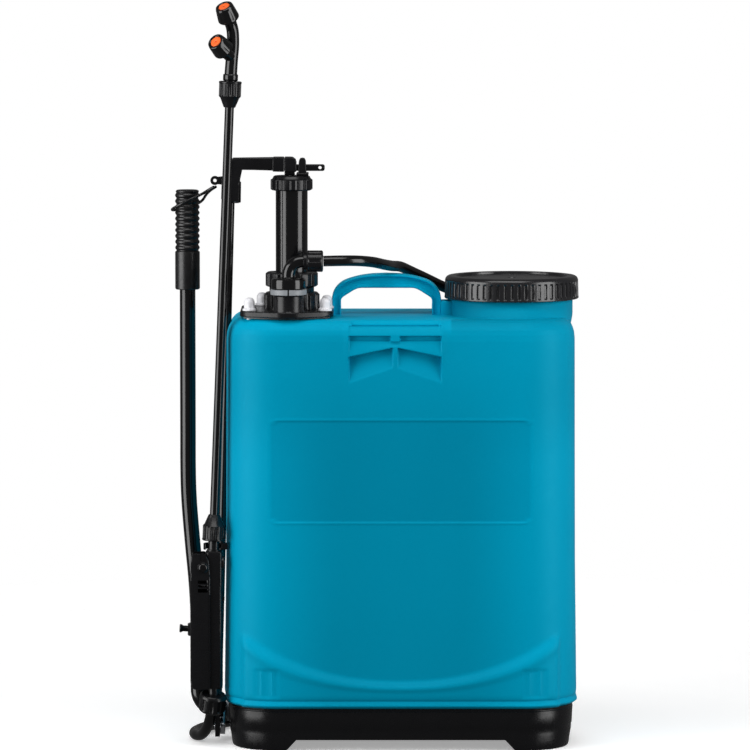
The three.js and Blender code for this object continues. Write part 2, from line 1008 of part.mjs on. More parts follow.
function nozzleBody() {
  const bottom = lanceLength - 0.8;
  const collar = rodBetween([0, 0, lanceLength + 9], [0, 0, lanceLength + 16], 8, 16);
  const spigot = rodBetween([0, 0, bottom], [0, 0, lanceLength + 10], 6.6, 16);
  const stem = tube(
    rounded(
      [
        [0, 0, lanceLength + 12],
        upperNozzle.foot,
        alongNozzle(upperNozzle, upperNozzle.reach - GAP),
      ],
      [16],
      5,
    ),
    nozzle.stem,
    14,
  );
  const branch = rodBetween(
    lowerNozzle.foot,
    alongNozzle(lowerNozzle, lowerNozzle.reach - GAP),
    6.2,
    14,
  );
  return joined(collar, spigot, stem, branch);
}

function nozzleCap(place) {
  const { capLength, capRim, capBase } = nozzle;
  const profile = [
    [6.4, capLength - 3],
    [6.4, capLength],
    [capRim - 0.8, capLength],
    [capRim, capLength - 1],
    [capBase, 2],
    [capBase - 2, 0],
    [3, 0],
    [3, capLength - 3],
    [6.4, capLength - 3],
  ];
  return turned(profile, { at: alongNozzle(place, place.reach), along: place.along, sides: 14 });
}

function nozzleTip(place) {
  const { capLength, tip } = nozzle;
  const profile = [
    [0.8, capLength - 2.7],
    [tip, capLength - 2.7],
    [tip, capLength - 0.6],
    [tip - 0.8, capLength],
    [0.8, capLength],
    [0.8, capLength - 2.7],
  ];
  return turned(profile, { at: alongNozzle(place, place.reach), along: place.along, sides: 10 });
}

const hoseNutTilt = [-0.12, 0.27, -0.95];
const hoseNutPlace = [-175.2, spray.y - 3, 59.2];

function handleBody() {
  const { x, y, bottom, top, halfWidth, halfDepth } = spray;
  const gripPart = block([x - halfWidth, x + halfWidth], [y - halfDepth, y + halfDepth], [bottom, 172]);
  const head = block([-184, -165], [y - 9, y + 9], [165, top]);
  const plug = rodBetween([-166, y, 199], [-162.8, y, 199], 8.6, 16);
  const spigot = rodBetween([lance.x, y, top - 1], [lance.x + 0.4, y, 228], 6.1, 12);
  const lug = slabY(linkOutline([trigger.x, trigger.z], 6, [-178, trigger.z], 8), y - 9, y + 9);
  const hook = block([-166, -163.2], [y - 2, y + 2], [158, 163]);
  const outletSpigot = rodBetween(hoseNutPlace, alongHoseNut(13), 5.6, 12);
  const outletRoot = rodBetween([-175, y - 2, 68], hoseNutPlace, 5.6, 12);
  return cut(
    joined(gripPart, head, plug, spigot, lug, hook, outletSpigot, outletRoot),
    bore([-186, y, valve.z], [-169.5, y, valve.z], valve.bore, 12),
    bore([trigger.x, y - 12, trigger.z], [trigger.x, y + 12, trigger.z], 2.6, 10),
  );
}

function alongHoseNut(distance) {
  const unit = new THREE.Vector3(...hoseNutTilt).normalize();
  return hoseNutPlace.map((value, i) => value + unit.getComponent(i) * distance);
}

function hoseNutBottom() {
  const profile = [
    [6, 1.5],
    [12.8, 1.5],
    [14.5, 4],
    [14.5, 19],
    [13, 21.5],
    [3.5, 21.5],
    [3.5, 14],
    [6, 14],
    [6, 1.5],
  ];
  return turned(profile, { at: hoseNutPlace, along: hoseNutTilt, sides: 14 });
}

function triggerLever() {
  const { left, right, bottom, top, x, z } = trigger;
  const outline = [
    [left + 3, bottom],
    [right, bottom],
    [right, 186],
    [right - 1.5, 203],
    [right - 6, top],
    [left + 2, top],
    [left + 0.5, 190],
    [left, 182],
    [left, bottom + 4],
  ];
  const { y } = spray;
  const window = [
    [-191.7, 168.4],
    [-180.9, 168.4],
    [-180.9, 181.6],
    [-191.7, 181.6],
  ];
  return cut(
    slabY(outline, y - 12, y + 12),
    block([left + 2.6, right + 5], [y - 9.9, y + 9.9], [bottom - 1, top + 1]),
    slabY(window, y - 13, y - 9),
    bore([x, y - 14, z], [x, y + 14, z], 2.6, 10),
  );
}

function triggerScrew() {
  const { y } = spray;
  const profile = [
    [0, 0],
    [3.6, 0],
    [4.6, 0.8],
    [4.6, 2],
    [2.2, 2],
    [2.2, 27.6],
    [0, 27.6],
  ];
  return turned(profile, { at: [trigger.x, y - 14.3, trigger.z], along: [0, 1, 0], sides: 12 });
}

function valveStem() {
  const profile = [
    [0, 0],
    [valve.stem, 0],
    [valve.stem, 14.2],
    [4.4, 14.2],
    [4.4, 16],
    [valve.stem, 16],
    [valve.stem, 19],
    [0, 19],
  ];
  const start = trigger.left + 2.6 + 0.5;
  return turned(profile, { at: [start, spray.y, valve.z], along: [1, 0, 0], sides: 12 });
}

// A short compression spring between the stem's collar and the end of its bore.
function valveSpring() {
  const [from, to] = [-180.1, -170];
  const turns = 3;
  const perTurn = 8;
  const points = Array.from({ length: turns * perTurn + 1 }, (_, i) => {
    const a = (i / perTurn) * Math.PI * 2;
    const along = from + ((to - from) * i) / (turns * perTurn);
    return new THREE.Vector3(along, spray.y + 3.6 * Math.cos(a), valve.z + 3.6 * Math.sin(a));
  });
  return tube(points, 0.5, 5);
}

// Wraps the spray handle's neck from behind and reaches to the tank's side wall.
function lanceClip() {
  const [low, high] = [213.8, 220.6];
  const jaw = ring(8.6, 10.8, low, high, { at: [lance.x - 0.3, lance.y, 0], sides: 18 });
  const mouth = block([-200, -176], [lance.y - 14, lance.y - 1], [low - 1, high + 1]);
  const arm = block([-166.5, -159.8], [lance.y - 2, lance.y + 7], [low, high]);
  return joined(cut(jaw, mouth), arm);
}

// ---------------------------------------------------------------- hose, loop and harness

// From the pump's nut over the carrying handle, down behind the tank, along the ground and
// under the lever to the spray handle.
function hoseRoute() {
  const y = outlet.y;
  return [
    [-56.7, y, 525],
    [-38, y + 0.5, 525.4],
    [-20, y + 8, 524.8],
    [-4, y + 25, 522.3],
    [8, y + 48, 518.2],
    [17, 0, 515],
    [26, 17, 513],
    [38, 34, 506.5],
    [54, 50, 498],
    [74, 64, 487.5],
    [98, 80, 478],
    [120, 95, 465],
    [133, 103.5, 445],
    [138, 105, 420],
    [140, 104.5, 375],
    [139, 104.5, 318],
    [136, 104.5, 258],
    [130, 104.5, 200],
    [119, 104.5, 142],
    [103, 105, 92],
    [80, 105.5, 50],
    [52, 106, 22],
    [20, 106.5, 9],
    [-15, 107, 6.2],
    [-60, 107, 6.2],
    [-105, 105, 6.2],
    [-142, 95, 6.2],
    [-168, 73, 6.2],
    [-184, 47, 6.2],
    [-194, 22, 6.2],
    [-198, 2, 6.2],
    [-195.6, -17.1, 6.2],
    [-189.8, -30, 8.4],
    [-184.7, -41.7, 15],
    [-180.6, -51, 25.1],
    [-177.9, -56.8, 37],
  ];
}

// Elastic loop from the eye on the pump's arm, across the grip's front, round it and back.
function loopRoute() {
  const { x, y } = lever;
  const eyeY = rod.y;
  return [
    [-175.2, eyeY - 1.2, 601.2],
    [-182, eyeY + 3, 597],
    [-190, y - 14, 591.5],
    [x + 5, y - 16.4, 587],
    [x - 6, y - 15.6, 581.5],
    [x - 14.6, y - 8, 576.5],
    [x - 16.4, y + 2, 574],
    [x - 12, y + 11.5, 573.5],
    [x, y + 16, 576],
    [x + 11, y + 11.6, 580.5],
    [x + 16.6, y, 585],
    [x + 20.5, y - 14, 591],
    [x + 26, eyeY + 8, 597],
    [-173, eyeY + 1.4, 601.2],
  ];
}

// The strap's outer face in side view: out from the top bar, round, and in to the low bar.
function strapLine(inset) {
  const out = strap.out - inset;
  const clear = holder.out + holder.bar + 0.9;
  const line = [
    [clear + strap.thick - inset, HOLDER_TOP + 2],
    [out - 26, HOLDER_TOP - 22],
    [out - 9, 372],
    [out, 318],
    [out, 262],
    [out - 6, 200],
    [out - 19, 132],
    [out - 33, 76],
    [clear + strap.thick - inset, HOLDER_LOW + 2],
  ];
  return line.map(([y, z]) => [0, y, z]);
}

function strapBand(from, to, inner, outer, halfWidth, steps) {
  const outerLine = smooth(strapLine(inner), steps);
  const innerLine = smooth(strapLine(outer), steps);
  const pick = (line) => line.slice(from, to + 1).map((p) => [p.y, p.z]);
  return [...pick(outerLine), ...pick(innerLine).reverse()];
}

const strapSplay = Math.atan2(strap.splay, HOLDER_TOP - HOLDER_LOW);

// Straps and pads are built square to the tank, then splayed about their top bar.
function splayed(side, made) {
  const geometry = geometryOf(made)
    .translate(0, 0, -HOLDER_TOP)
    .rotateY(-side * strapSplay)
    .translate(strapX(side, false), 0, HOLDER_TOP);
  return solid(geometry);
}

function strapSolid(side) {
  const outline = strapBand(0, 24, 0, strap.thick, strap.halfWidth, 24);
  return splayed(side, slabX(outline, -strap.halfWidth, strap.halfWidth));
}

function padSolid(side) {
  const inner = strap.thick + 0.4;
  const outline = strapBand(4, 11, inner, inner + pad.thick, pad.halfWidth, 24);
  return splayed(side, slabX(outline, -pad.halfWidth, pad.halfWidth));
}

// ---------------------------------------------------------------- the sprayer

const paint = (color, roughness, metalness = 0) =>
  new THREE.MeshStandardMaterial({ color, roughness, metalness });
const blueShell = () => paint(0x0089ac, 0.32);
const black = () => paint(0x17171a, 0.35);
const blackGloss = () => paint(0x101013, 0.16);
const rubber = () => paint(0x1b1b1d, 0.85);
const steel = () => paint(0xb9bcc0, 0.28, 1);
const blackSteel = () => paint(0x141416, 0.25, 0.3);
const white = () => paint(0xe4e4e8, 0.4);
const grey = () => paint(0xb9bbbd, 0.5);
const orange = () => paint(0xf06e32, 0.45);
const webbing = () => paint(0x1a1a1c, 0.95);
const mesh = () => paint(0x2b2b2e, 0.6);

const root = new THREE.Group();
const sprayer = new THREE.Group();
sprayer.position.y = footprintShift;
root.add(sprayer);
const lanceFrame = new THREE.Group();
lanceFrame.position.set(lance.x, lance.y, lance.z);
lanceFrame.rotation.y = lanceLean;
sprayer.add(lanceFrame);

function add(name, made, material, parent = sprayer) {
  const part = new THREE.Mesh(geometryOf(made), material);
  part.name = name;
  parent.add(part);
  return part;
}

add("tank_shell", tankShell(), blueShell());
add("base_skirt", baseSkirt(), black());
add("shaft_bush_left", shaftBush(-163.4, 3.6), grey());
add("shaft_bush_right", shaftBush(-70, 3.6), grey());

add("pump_gasket", pumpGasket(), rubber());
add("pump_flange", pumpFlange(), black());
plateScrewPlaces().forEach((place, i) => add(`plate_screw_${i + 1}`, plateScrew(place), white()));
add("cylinder_nut", cylinderNut(), black());
add("pump_cylinder", pumpCylinder(), blackGloss());
add("cylinder_top_nut", cylinderTopNut(), black());
add("rod_guide", rodGuide(), black());
add("rod_seal", rodSeal(), rubber());
add("foot_valve_seat", footValve(), black());
add("foot_valve_ball", ball(6.2, [pump.x, pump.y, 94.2]), steel());
add("suction_strainer", suctionStrainer(), mesh());
add("outlet_valve_cap", outletValveCap(), black());
add("outlet_valve_ball", ball(6.8, [outlet.x, outlet.y, 493.9]), steel());
add(
  "outlet_clip_ring",
  ring(16.4, 19.4, outlet.seat + 0.4, 495, { at: [outlet.x, outlet.y, 0], sides: 24 }),
  grey(),
);
add("outlet_elbow", outletElbow(), black());
add("hose_nut_top", hoseNutTop(), black());

add("lever_tube", leverTube(), blackSteel());
add("lever_grip", leverGrip(), rubber());
add("lever_hook", leverHook(), black());
add("crank_arm", crankArm(), steel());
add("rod_foot", rodFoot(), black());
add("pull_rod", pullRod(), blackSteel());
add("cross_arm", crossArm(), black());
add("rod_head", rodHead(), black());
add("piston_rod", pistonRod(), steel());
add("piston", piston(), black());
add("piston_seal", pistonSeal(), rubber());

add("filler_cap", fillerCap(), black());
add("cap_gasket", capGasket(), rubber());
add("vent_valve", ventValve(), grey());
add("strainer_basket", strainerBasket(), mesh());

add("lance_tube", lanceTube(), blackSteel(), lanceFrame);
add("lance_nut_lower", lanceNut(), black(), lanceFrame);
const upperNut = add("lance_nut_upper", lanceNut(), black(), lanceFrame);
upperNut.position.z = lanceLength;
upperNut.rotation.x = Math.PI;
add("nozzle_body", nozzleBody(), black(), lanceFrame);
add("nozzle_cap_upper", nozzleCap(upperNozzle), black(), lanceFrame);
add("nozzle_cap_lower", nozzleCap(lowerNozzle), black(), lanceFrame);
add("nozzle_tip_upper", nozzleTip(upperNozzle), orange(), lanceFrame);
add("nozzle_tip_lower", nozzleTip(lowerNozzle), orange(), lanceFrame);
add("handle_body", handleBody(), black());
add("hose_nut_bottom", hoseNutBottom(), black());
add("trigger", triggerLever(), black());
add("trigger_screw", triggerScrew(), steel());
add("valve_stem", valveStem(), steel());
add("valve_spring", valveSpring(), steel());
add("lance_clip", lanceClip(), black());

add("hose", tube(smooth(hoseRoute(), hose.steps), hose.radius, 8), black());
add("retaining_loop", tube(smooth(loopRoute(), 26), loop.radius, 8), rubber());
[-1, 1].forEach((side) => {
  const name = side < 0 ? "left" : "right";
  add(`strap_${name}`, strapSolid(side), webbing());
  add(`shoulder_pad_${name}`, padSolid(side), webbing());
});

export default root;
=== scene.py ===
import json
import math

import bmesh
import bpy
import numpy as np
from mathutils import Matrix, Vector

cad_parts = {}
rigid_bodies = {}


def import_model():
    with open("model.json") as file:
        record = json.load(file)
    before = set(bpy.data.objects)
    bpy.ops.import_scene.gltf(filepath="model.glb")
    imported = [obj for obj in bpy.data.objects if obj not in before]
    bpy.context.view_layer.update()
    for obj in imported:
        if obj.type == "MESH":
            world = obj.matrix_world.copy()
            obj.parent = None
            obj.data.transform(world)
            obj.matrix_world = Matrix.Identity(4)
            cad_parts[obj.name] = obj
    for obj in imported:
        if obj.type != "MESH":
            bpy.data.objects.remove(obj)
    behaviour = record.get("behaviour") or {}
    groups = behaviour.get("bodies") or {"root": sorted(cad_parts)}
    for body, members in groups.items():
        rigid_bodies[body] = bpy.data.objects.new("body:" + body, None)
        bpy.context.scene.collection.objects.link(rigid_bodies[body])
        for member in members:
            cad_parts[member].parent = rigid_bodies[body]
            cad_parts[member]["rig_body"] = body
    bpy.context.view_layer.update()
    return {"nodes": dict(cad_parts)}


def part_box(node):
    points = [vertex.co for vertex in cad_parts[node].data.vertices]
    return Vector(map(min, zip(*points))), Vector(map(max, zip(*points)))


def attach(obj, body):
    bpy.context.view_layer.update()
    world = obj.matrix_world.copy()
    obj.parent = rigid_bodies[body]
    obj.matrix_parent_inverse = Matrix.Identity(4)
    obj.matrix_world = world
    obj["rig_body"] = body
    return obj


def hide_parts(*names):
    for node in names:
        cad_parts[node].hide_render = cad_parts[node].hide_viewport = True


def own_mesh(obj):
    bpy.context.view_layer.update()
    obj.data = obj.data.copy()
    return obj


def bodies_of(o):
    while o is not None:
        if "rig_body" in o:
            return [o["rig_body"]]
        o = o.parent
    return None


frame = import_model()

MM = 0.001
ELEVATION = math.radians(5)


def centre(node):
    low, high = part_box(node)
    return [(a + b) / 2 for a, b in zip(low, high)]


TANK_LOW, TANK_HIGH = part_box("tank_shell")
TANK_X = (TANK_LOW[0] + TANK_HIGH[0]) / 2
FRONT = TANK_LOW[1]
HALF_WIDTH = 190 * MM
HALF_DEPTH = 95.5 * MM
MID = FRONT + HALF_DEPTH
PUMP_X, PUMP_Y = centre("pump_cylinder")[:2]
OUTLET_X, OUTLET_Y = centre("outlet_valve_cap")[:2]
CAP_X, CAP_Y = centre("filler_cap")[:2]
LEVER_X, LEVER_Y = centre("lever_grip")[:2]
ROD_Y = centre("pull_rod")[1]
PULL_ROD_RADIUS = 4.25 * MM
HANDLE_Y = centre("handle_body")[1]


# ---------------------------------------------------------------- shapes

def bezier_corner(before, corner, after, reach, steps):
    """Points that round one corner of a line."""
    before, corner, after = (np.array(p, float) for p in (before, corner, after))
    into, onward = before - corner, after - corner
    start = corner + into * min(reach / np.linalg.norm(into), 0.46)
    end = corner + onward * min(reach / np.linalg.norm(onward), 0.46)
    t = np.linspace(0, 1, steps + 1)[:, None]
    return list((1 - t) ** 2 * start + 2 * t * (1 - t) * corner + t**2 * end)


def softened(points, reach, steps=4):
    """An outline with every corner rounded."""
    out = []
    for i, point in enumerate(points):
        out += bezier_corner(points[i - 1], point, points[(i + 1) % len(points)], reach, steps)
    return out


def arc(centre_point, radius, start, end, steps):
    angles = np.radians(np.linspace(start, end, steps + 1))
    u, v = centre_point
    return [(u + radius * math.cos(a), v + radius * math.sin(a)) for a in angles]


def catmull(points, per_span):
    """A smooth centripetal line through every point."""
    p = np.array(points, float)
    p = np.vstack([2 * p[0] - p[1], p, 2 * p[-1] - p[-2]])
    out = []
    for i in range(1, len(p) - 2):
        a, b, c, d = p[i - 1:i + 3]
        t1 = math.sqrt(np.linalg.norm(b - a))
        t2 = t1 + math.sqrt(np.linalg.norm(c - b))
        t3 = t2 + math.sqrt(np.linalg.norm(d - c))
        for t in np.linspace(t1, t2, per_span, endpoint=False):
            ab = a + (b - a) * t / t1
            bc = b + (c - b) * (t - t1) / (t2 - t1)
            cd = c + (d - c) * (t - t2) / (t3 - t2)
            abc = ab + (bc - ab) * t / t2
            bcd = bc + (cd - bc) * (t - t1) / (t3 - t1)
            out.append(abc + (bcd - abc) * (t - t1) / (t2 - t1))
    out.append(p[-2])
    return np.array(out)


def scaled(points, dx=0.0, dy=0.0):
    """Pairs in metres, from pairs in millimetres, shifted by metres."""
    return [(x * MM + dx, y * MM + dy) for x, y in points]


def span(low, high):
    """Two limits in metres, from millimetres."""
    return low * MM, high * MM


def around(middle, half):
    """The span of so many millimetres each side of a place."""
    return middle - half * MM, middle + half * MM


def turn_to(along):
    return Vector((0, 0, 1)).rotation_difference(Vector(along)).to_matrix().to_4x4()


def grid_faces(rows, ring=False):
    """Faces between rows of vertex numbers. A row of one is a point on the axis."""
    faces = []
    pairs = list(zip(rows, rows[1:])) + ([(rows[-1], rows[0])] if ring else [])
    for a, b in pairs:
        count = max(len(a), len(b))
        for i in range(count):
            j = (i + 1) % count
            corners = [a[i % len(a)], a[j % len(a)], b[j % len(b)], b[i % len(b)]]
            face = list(dict.fromkeys(corners))
            if len(face) > 2:
                faces.append(face)
    return faces


def body_of(verts, faces, rounding=0, steps=2, angle=28):
    """A closed body whose sharp edges are rounded."""
    bm = bmesh.new()
    made = [bm.verts.new(v) for v in verts]
    for face in faces:
        bm.faces.new([made[i] for i in face])
    bmesh.ops.recalc_face_normals(bm, faces=bm.faces)
    if rounding:
        sharp = [e for e in bm.edges if e.calc_face_angle(0) > math.radians(angle)]
        bmesh.ops.bevel(
            bm, geom=sharp, offset=rounding, segments=steps, affect="EDGES",
            profile=0.5, clamp_overlap=True,
        )
    return bm


def turned(profile, at=(0, 0, 0), along=(0, 0, 1), sides=64, ring=False, swell=None):
    """A profile of (radius, height) pairs turned about its axis. swell(angle, height) scales it."""
    angles = np.linspace(0, 2 * math.pi, sides, endpoint=False)
    verts, rows = [], []
    for r, h in profile:
        if r < 1e-7:
            rows.append([len(verts)])
            verts.append((0, 0, h))
            continue
        rows.append(list(range(len(verts), len(verts) + sides)))
        for a in angles:
            radius = r * swell(a, h) if swell else r
            verts.append((radius * math.cos(a), radius * math.sin(a), h))
    bm = body_of(verts, grid_faces(rows, ring))
    bm.transform(Matrix.Translation(at) @ turn_to(along))
    return bm


def spun(profile, *where, **options):
    """A turned body whose profile is in millimetres."""
    return turned(scaled(profile), *where, **options)


AXES = {"x": (1, 2, 0), "y": (0, 2, 1), "z": (0, 1, 2)}


def prism(outline, low, high, axis="y", rounding=0.0006, reach=0, steps=2):
    """An outline in the two other directions, thick along one axis."""
    if reach:
        outline = softened(outline, reach)
    u, v, w = AXES[axis]
    verts = []
    for level in (low, high):
        for point in outline:
            place = [0, 0, 0]
            place[u], place[v], place[w] = point[0], point[1], level
            verts.append(place)
    count = len(outline)
    faces = [list(range(count)), list(range(2 * count - 1, count - 1, -1))]
    faces += [[i, (i + 1) % count, count + (i + 1) % count, count + i] for i in range(count)]
    return body_of(verts, faces, rounding, steps, angle=40)


def box(x, y, z, rounding=0.0006, steps=2):
    return prism([(x[0], z[0]), (x[1], z[0]), (x[1], z[1]), (x[0], z[1])], *y, "y", rounding, 0, steps)


def rod(start, end, radius, sides=32, chamfer=0.0004):
    step = Vector(end) - Vector(start)
    long = step.length
    profile = [(0, 0), (radius - chamfer, 0), (radius, chamfer), (radius, long - chamfer)]
    profile += [(radius - chamfer, long), (0, long)]
    return turned(profile, start, step.normalized(), sides)


def post(x, y, low, high, radius, sides):
    """An upright rod, with its radius in millimetres."""
    return rod((x, y, low), (x, y, high), radius * MM, sides)


def pin(x, y, z, half, radius):
    """A plain rod across y, with its half length and radius in millimetres."""
    low, high = around(y, half)
    return rod((x, low, z), (x, high, z), radius * MM, 24, 0)


def slab(points, y, half, rounding, reach=0, steps=2):
    """A prism across y from an (x, z) outline, with all sizes in millimetres."""
    return prism(scaled(points), *around(y, half), "y", rounding * MM, reach * MM, steps)


def sections_along(path, sections):
    """A body through one section, a list of (across, up) pairs, for each point of a path."""
    path = [Vector(p) for p in path]
    ways = [(path[min(i + 1, len(path) - 1)] - path[max(i - 1, 0)]).normalized() for i in range(len(path))]
    up = Vector((0, 0, 1)) if abs(ways[0].z) < 0.9 else Vector((0, 1, 0))
    verts, rows = [], []
    for point, way, section in zip(path, ways, sections):
        across = way.cross(up).normalized()
        up = across.cross(way).normalized()
        rows.append(list(range(len(verts), len(verts) + len(section))))
        verts += [point + across * a + up * b for a, b in section]
    return body_of(verts, grid_faces(rows) + [rows[0][::-1], rows[-1]])


def circle(radius, sides):
    angles = np.linspace(0, 2 * math.pi, sides, endpoint=False)
    return [(radius * math.cos(a), radius * math.sin(a)) for a in angles]


def tube(path, radius, sides=24, radii=None):
    radii = radii or [radius] * len(path)
    return sections_along(path, [circle(r, sides) for r in radii])


def loft(levels):
    """A closed body through stacked outlines, each a list of points with as many as the last."""
    verts, rows = [], []
    for level in levels:
        rows.append(list(range(len(verts), len(verts) + len(level))))
        verts += [tuple(point) for point in level]
    return body_of(verts, grid_faces(rows) + [rows[0][::-1], rows[-1]])


def mesh_object(name, bm):
    mesh = bpy.data.meshes.new(name)
    bm.to_mesh(mesh)
    bm.free()
    made = bpy.data.objects.new(name, mesh)
    bpy.context.scene.collection.objects.link(made)
    return made


def fused(name, bodies, cuts=()):
    """One mesh made of bodies joined together, with the cutters taken away."""
    whole = mesh_object(name, bodies[0])
    tools = [(mesh_object(name + "_tool", bm), "UNION") for bm in bodies[1:]]
    tools += [(mesh_object(name + "_tool", bm), "DIFFERENCE") for bm in cuts]
    for tool, action in tools:
        step = whole.modifiers.new("step", "BOOLEAN")
        step.operation = action
        step.solver = "MANIFOLD"
        step.object = tool
    if tools:
        graph = bpy.context.evaluated_depsgraph_get()
        mesh = bpy.data.meshes.new_from_object(whole.evaluated_get(graph))
        whole.modifiers.clear()
        whole.data = mesh
    for tool, _ in tools:
        bpy.data.objects.remove(tool)
    return whole


def joined(bodies, cuts):
    """A body made with cutters, which can go into another piece."""
    made = fused("joined", bodies, cuts)
    bm = bmesh.new()
    bm.from_mesh(made.data)
    bpy.data.objects.remove(made)
    return bm


def piece(name, bodies, rides, slot, cuts=(), angle=30):
    """A finished piece that stands for the CAD node of the same name."""
    return finished(fused(name + "_shape", bodies, cuts), rides, slot, [name], angle)


def finished(made, rides, slot, nodes, angle=30):
    """Gives a mesh its finish, the body it rides on and the CAD nodes it stands for."""
    made.data.polygons.foreach_set("use_smooth", [True] * len(made.data.polygons))
    made.data.set_sharp_from_angle(angle=math.radians(angle))
    made.data.materials.clear()
    made.data.materials.append(MATERIALS[slot])
    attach(made, rides)
    if nodes:
        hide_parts(*nodes)
    return made


# ---------------------------------------------------------------- materials

class Shader:
    """A node material built round one Principled BSDF."""

    def __init__(self, name, colour, **sockets):
        self.material = bpy.data.materials.new(name)
        self.material.use_nodes = True
        self.tree = self.material.node_tree
        self.bsdf = self.tree.nodes["Principled BSDF"]
        self.colour = colour
        self.bsdf.inputs["Base Color"].default_value = (*colour, 1)
        for socket, value in sockets.items():
            self.bsdf.inputs[socket.replace("_", " ")].default_value = value
        self.place = self.node("ShaderNodeTexCoord").outputs["Object"]

    def node(self, kind, **values):
        made = self.tree.nodes.new(kind)
        for key, value in values.items():
            if hasattr(made, key):
                setattr(made, key, value)
            else:
                made.inputs[key.replace("_", " ")].default_value = value
        return made

    def link(self, start, end):
        self.tree.links.new(start, end)

    def noise(self, scale, detail=3, roughness=0.5, stretch=None):
        made = self.node("ShaderNodeTexNoise", Scale=scale, Detail=detail, Roughness=roughness)
        place = self.place
        if stretch:
            mapping = self.node("ShaderNodeMapping")
            mapping.inputs["Scale"].default_value = stretch
            self.link(place, mapping.inputs["Vector"])
            place = mapping.outputs["Vector"]
        self.link(place, made.inputs["Vector"])
        return made.outputs["Fac"]

    def spread(self, value, low, high, start=0.3, end=0.7):
        made = self.node("ShaderNodeMapRange", From_Min=start, From_Max=end, To_Min=low, To_Max=high)
        self.link(value, made.inputs["Value"])
        return made.outputs["Result"]

    def maths(self, operation, a, b=None):
        made = self.node("ShaderNodeMath", operation=operation)
        for slot, value in enumerate((a, b)):
            if isinstance(value, (int, float)):
                made.inputs[slot].default_value = value
            elif value is not None:
                self.link(value, made.inputs[slot])
        return made.outputs["Value"]

    def tint(self, value, dark, light, start=0.3, end=0.7):
        """Base colour from dark to light, as shares of the plain colour, along a value."""
        ramp = self.node("ShaderNodeValToRGB")
        for stop, share, at in zip(ramp.color_ramp.elements, (dark, light), (start, end)):
            stop.color = (*[min(c * share, 1) for c in self.colour], 1)
            stop.position = at
        self.link(value, ramp.inputs["Fac"])
        self.link(ramp.outputs["Color"], self.bsdf.inputs["Base Color"])
        return ramp

    def rough(self, value, low, high):
        self.link(self.spread(value, low, high), self.bsdf.inputs["Roughness"])

    def bump(self, value, strength, distance):
        made = self.node("ShaderNodeBump", Strength=strength, Distance=distance)
        self.link(value, made.inputs["Height"])
        self.link(made.outputs["Normal"], self.bsdf.inputs["Normal"])


def linear(*rgb):
    """A colour given as it looks on a screen, 0 to 255."""
    return tuple(((c / 255 + 0.055) / 1.055) ** 2.4 if c > 10 else c / 255 / 12.92 for c in rgb)


GRAIN_SIZE = 1.1 * MM


def moulded(name, rgb, gloss, grain=0.25, spread=0.06, **sockets):
    """Moulded plastic: a fine cast grain, faint flow shading and uneven gloss."""
    shader = Shader(name, linear(*rgb), **sockets)
    flow = shader.noise(9, 4, stretch=(1, 1, 0.4))
    shader.tint(flow, 0.9, 1.12)
    scuffs = shader.noise(140, 6, 0.7)
    shader.rough(scuffs, gloss - spread, gloss + spread)
    shader.bump(shader.noise(1 / GRAIN_SIZE, 2), grain, 0.00012)
    return shader.material


def tank_material():
    shader = Shader("tank_plastic", linear(0, 147, 182), Subsurface_Weight=0.05, Sheen_Weight=0.12)
    shader.bsdf.inputs["Subsurface Radius"].default_value = (0.2, 0.8, 1.0)
    shader.bsdf.inputs["Subsurface Scale"].default_value = 0.003
    shader.bsdf.inputs["Specular IOR Level"].default_value = 0.22
    shader.bsdf.inputs["Specular Tint"].default_value = (0.05, 0.8, 1.0, 1)
    shader.bsdf.inputs["Sheen Tint"].default_value = (0.0, 0.75, 1.0, 1)
    shader.bsdf.inputs["Sheen Roughness"].default_value = 0.35
    flow = shader.noise(3.5, 3, stretch=(1, 1, 0.35))
    speckle = shader.noise(420, 2)
    cloudy, fine = shader.maths("MULTIPLY", flow, 0.8), shader.maths("MULTIPLY", speckle, 0.2)
    mixed = shader.maths("ADD", cloudy, fine)
    ramp = shader.tint(mixed, 0.93, 1.06)
    panel = shader.node("ShaderNodeAttribute", attribute_name="panel").outputs["Fac"]
    darker = shader.node("ShaderNodeMix", data_type="RGBA", blend_type="MULTIPLY")
    shader.link(panel, darker.inputs["Factor"])
    shader.link(ramp.outputs["Color"], darker.inputs["A"])
    darker.inputs["B"].default_value = (0.85, 0.9, 0.91, 1)
    # Painted light and shade: the wall attribute multiplies the base colour. It is lighter towards the tank's
    # left and right edges, towards its top and on the deck and handle, and darker on the filler neck,
    # standing in for how the side and top lights fall on the tank.
    wall = shader.node("ShaderNodeAttribute", attribute_name="wall").outputs["Fac"]
    lit = shader.node("ShaderNodeMix", data_type="RGBA", blend_type="MULTIPLY")
    lit.inputs["Factor"].default_value = 1
    shader.link(darker.outputs["Result"], lit.inputs["A"])
    shader.link(wall, lit.inputs["B"])
    shader.link(lit.outputs["Result"], shader.bsdf.inputs["Base Color"])
    shader.rough(shader.noise(60, 5, 0.65), 0.4, 0.52)
    shader.bump(shader.noise(520, 2), 0.16, 0.00018)
    return shader.material


def rubber_material():
    shader = Shader("rubber", linear(13, 13, 14))
    shader.tint(shader.noise(30, 4), 0.85, 1.2)
    shader.rough(shader.noise(220, 4), 0.26, 0.4)
    shader.bump(shader.noise(1500, 3), 0.15, 0.0001)
    return shader.material


def metal_material(name, rgb, gloss, metallic, brush):
    shader = Shader(name, linear(*rgb), Metallic=metallic)
    streaks = shader.noise(90, 5, 0.6, stretch=brush)
    shader.tint(streaks, 0.86, 1.1)
    shader.rough(streaks, gloss - 0.05, gloss + 0.07)
    shader.bump(shader.noise(600, 2), 0.06, 0.00006)
    return shader.material


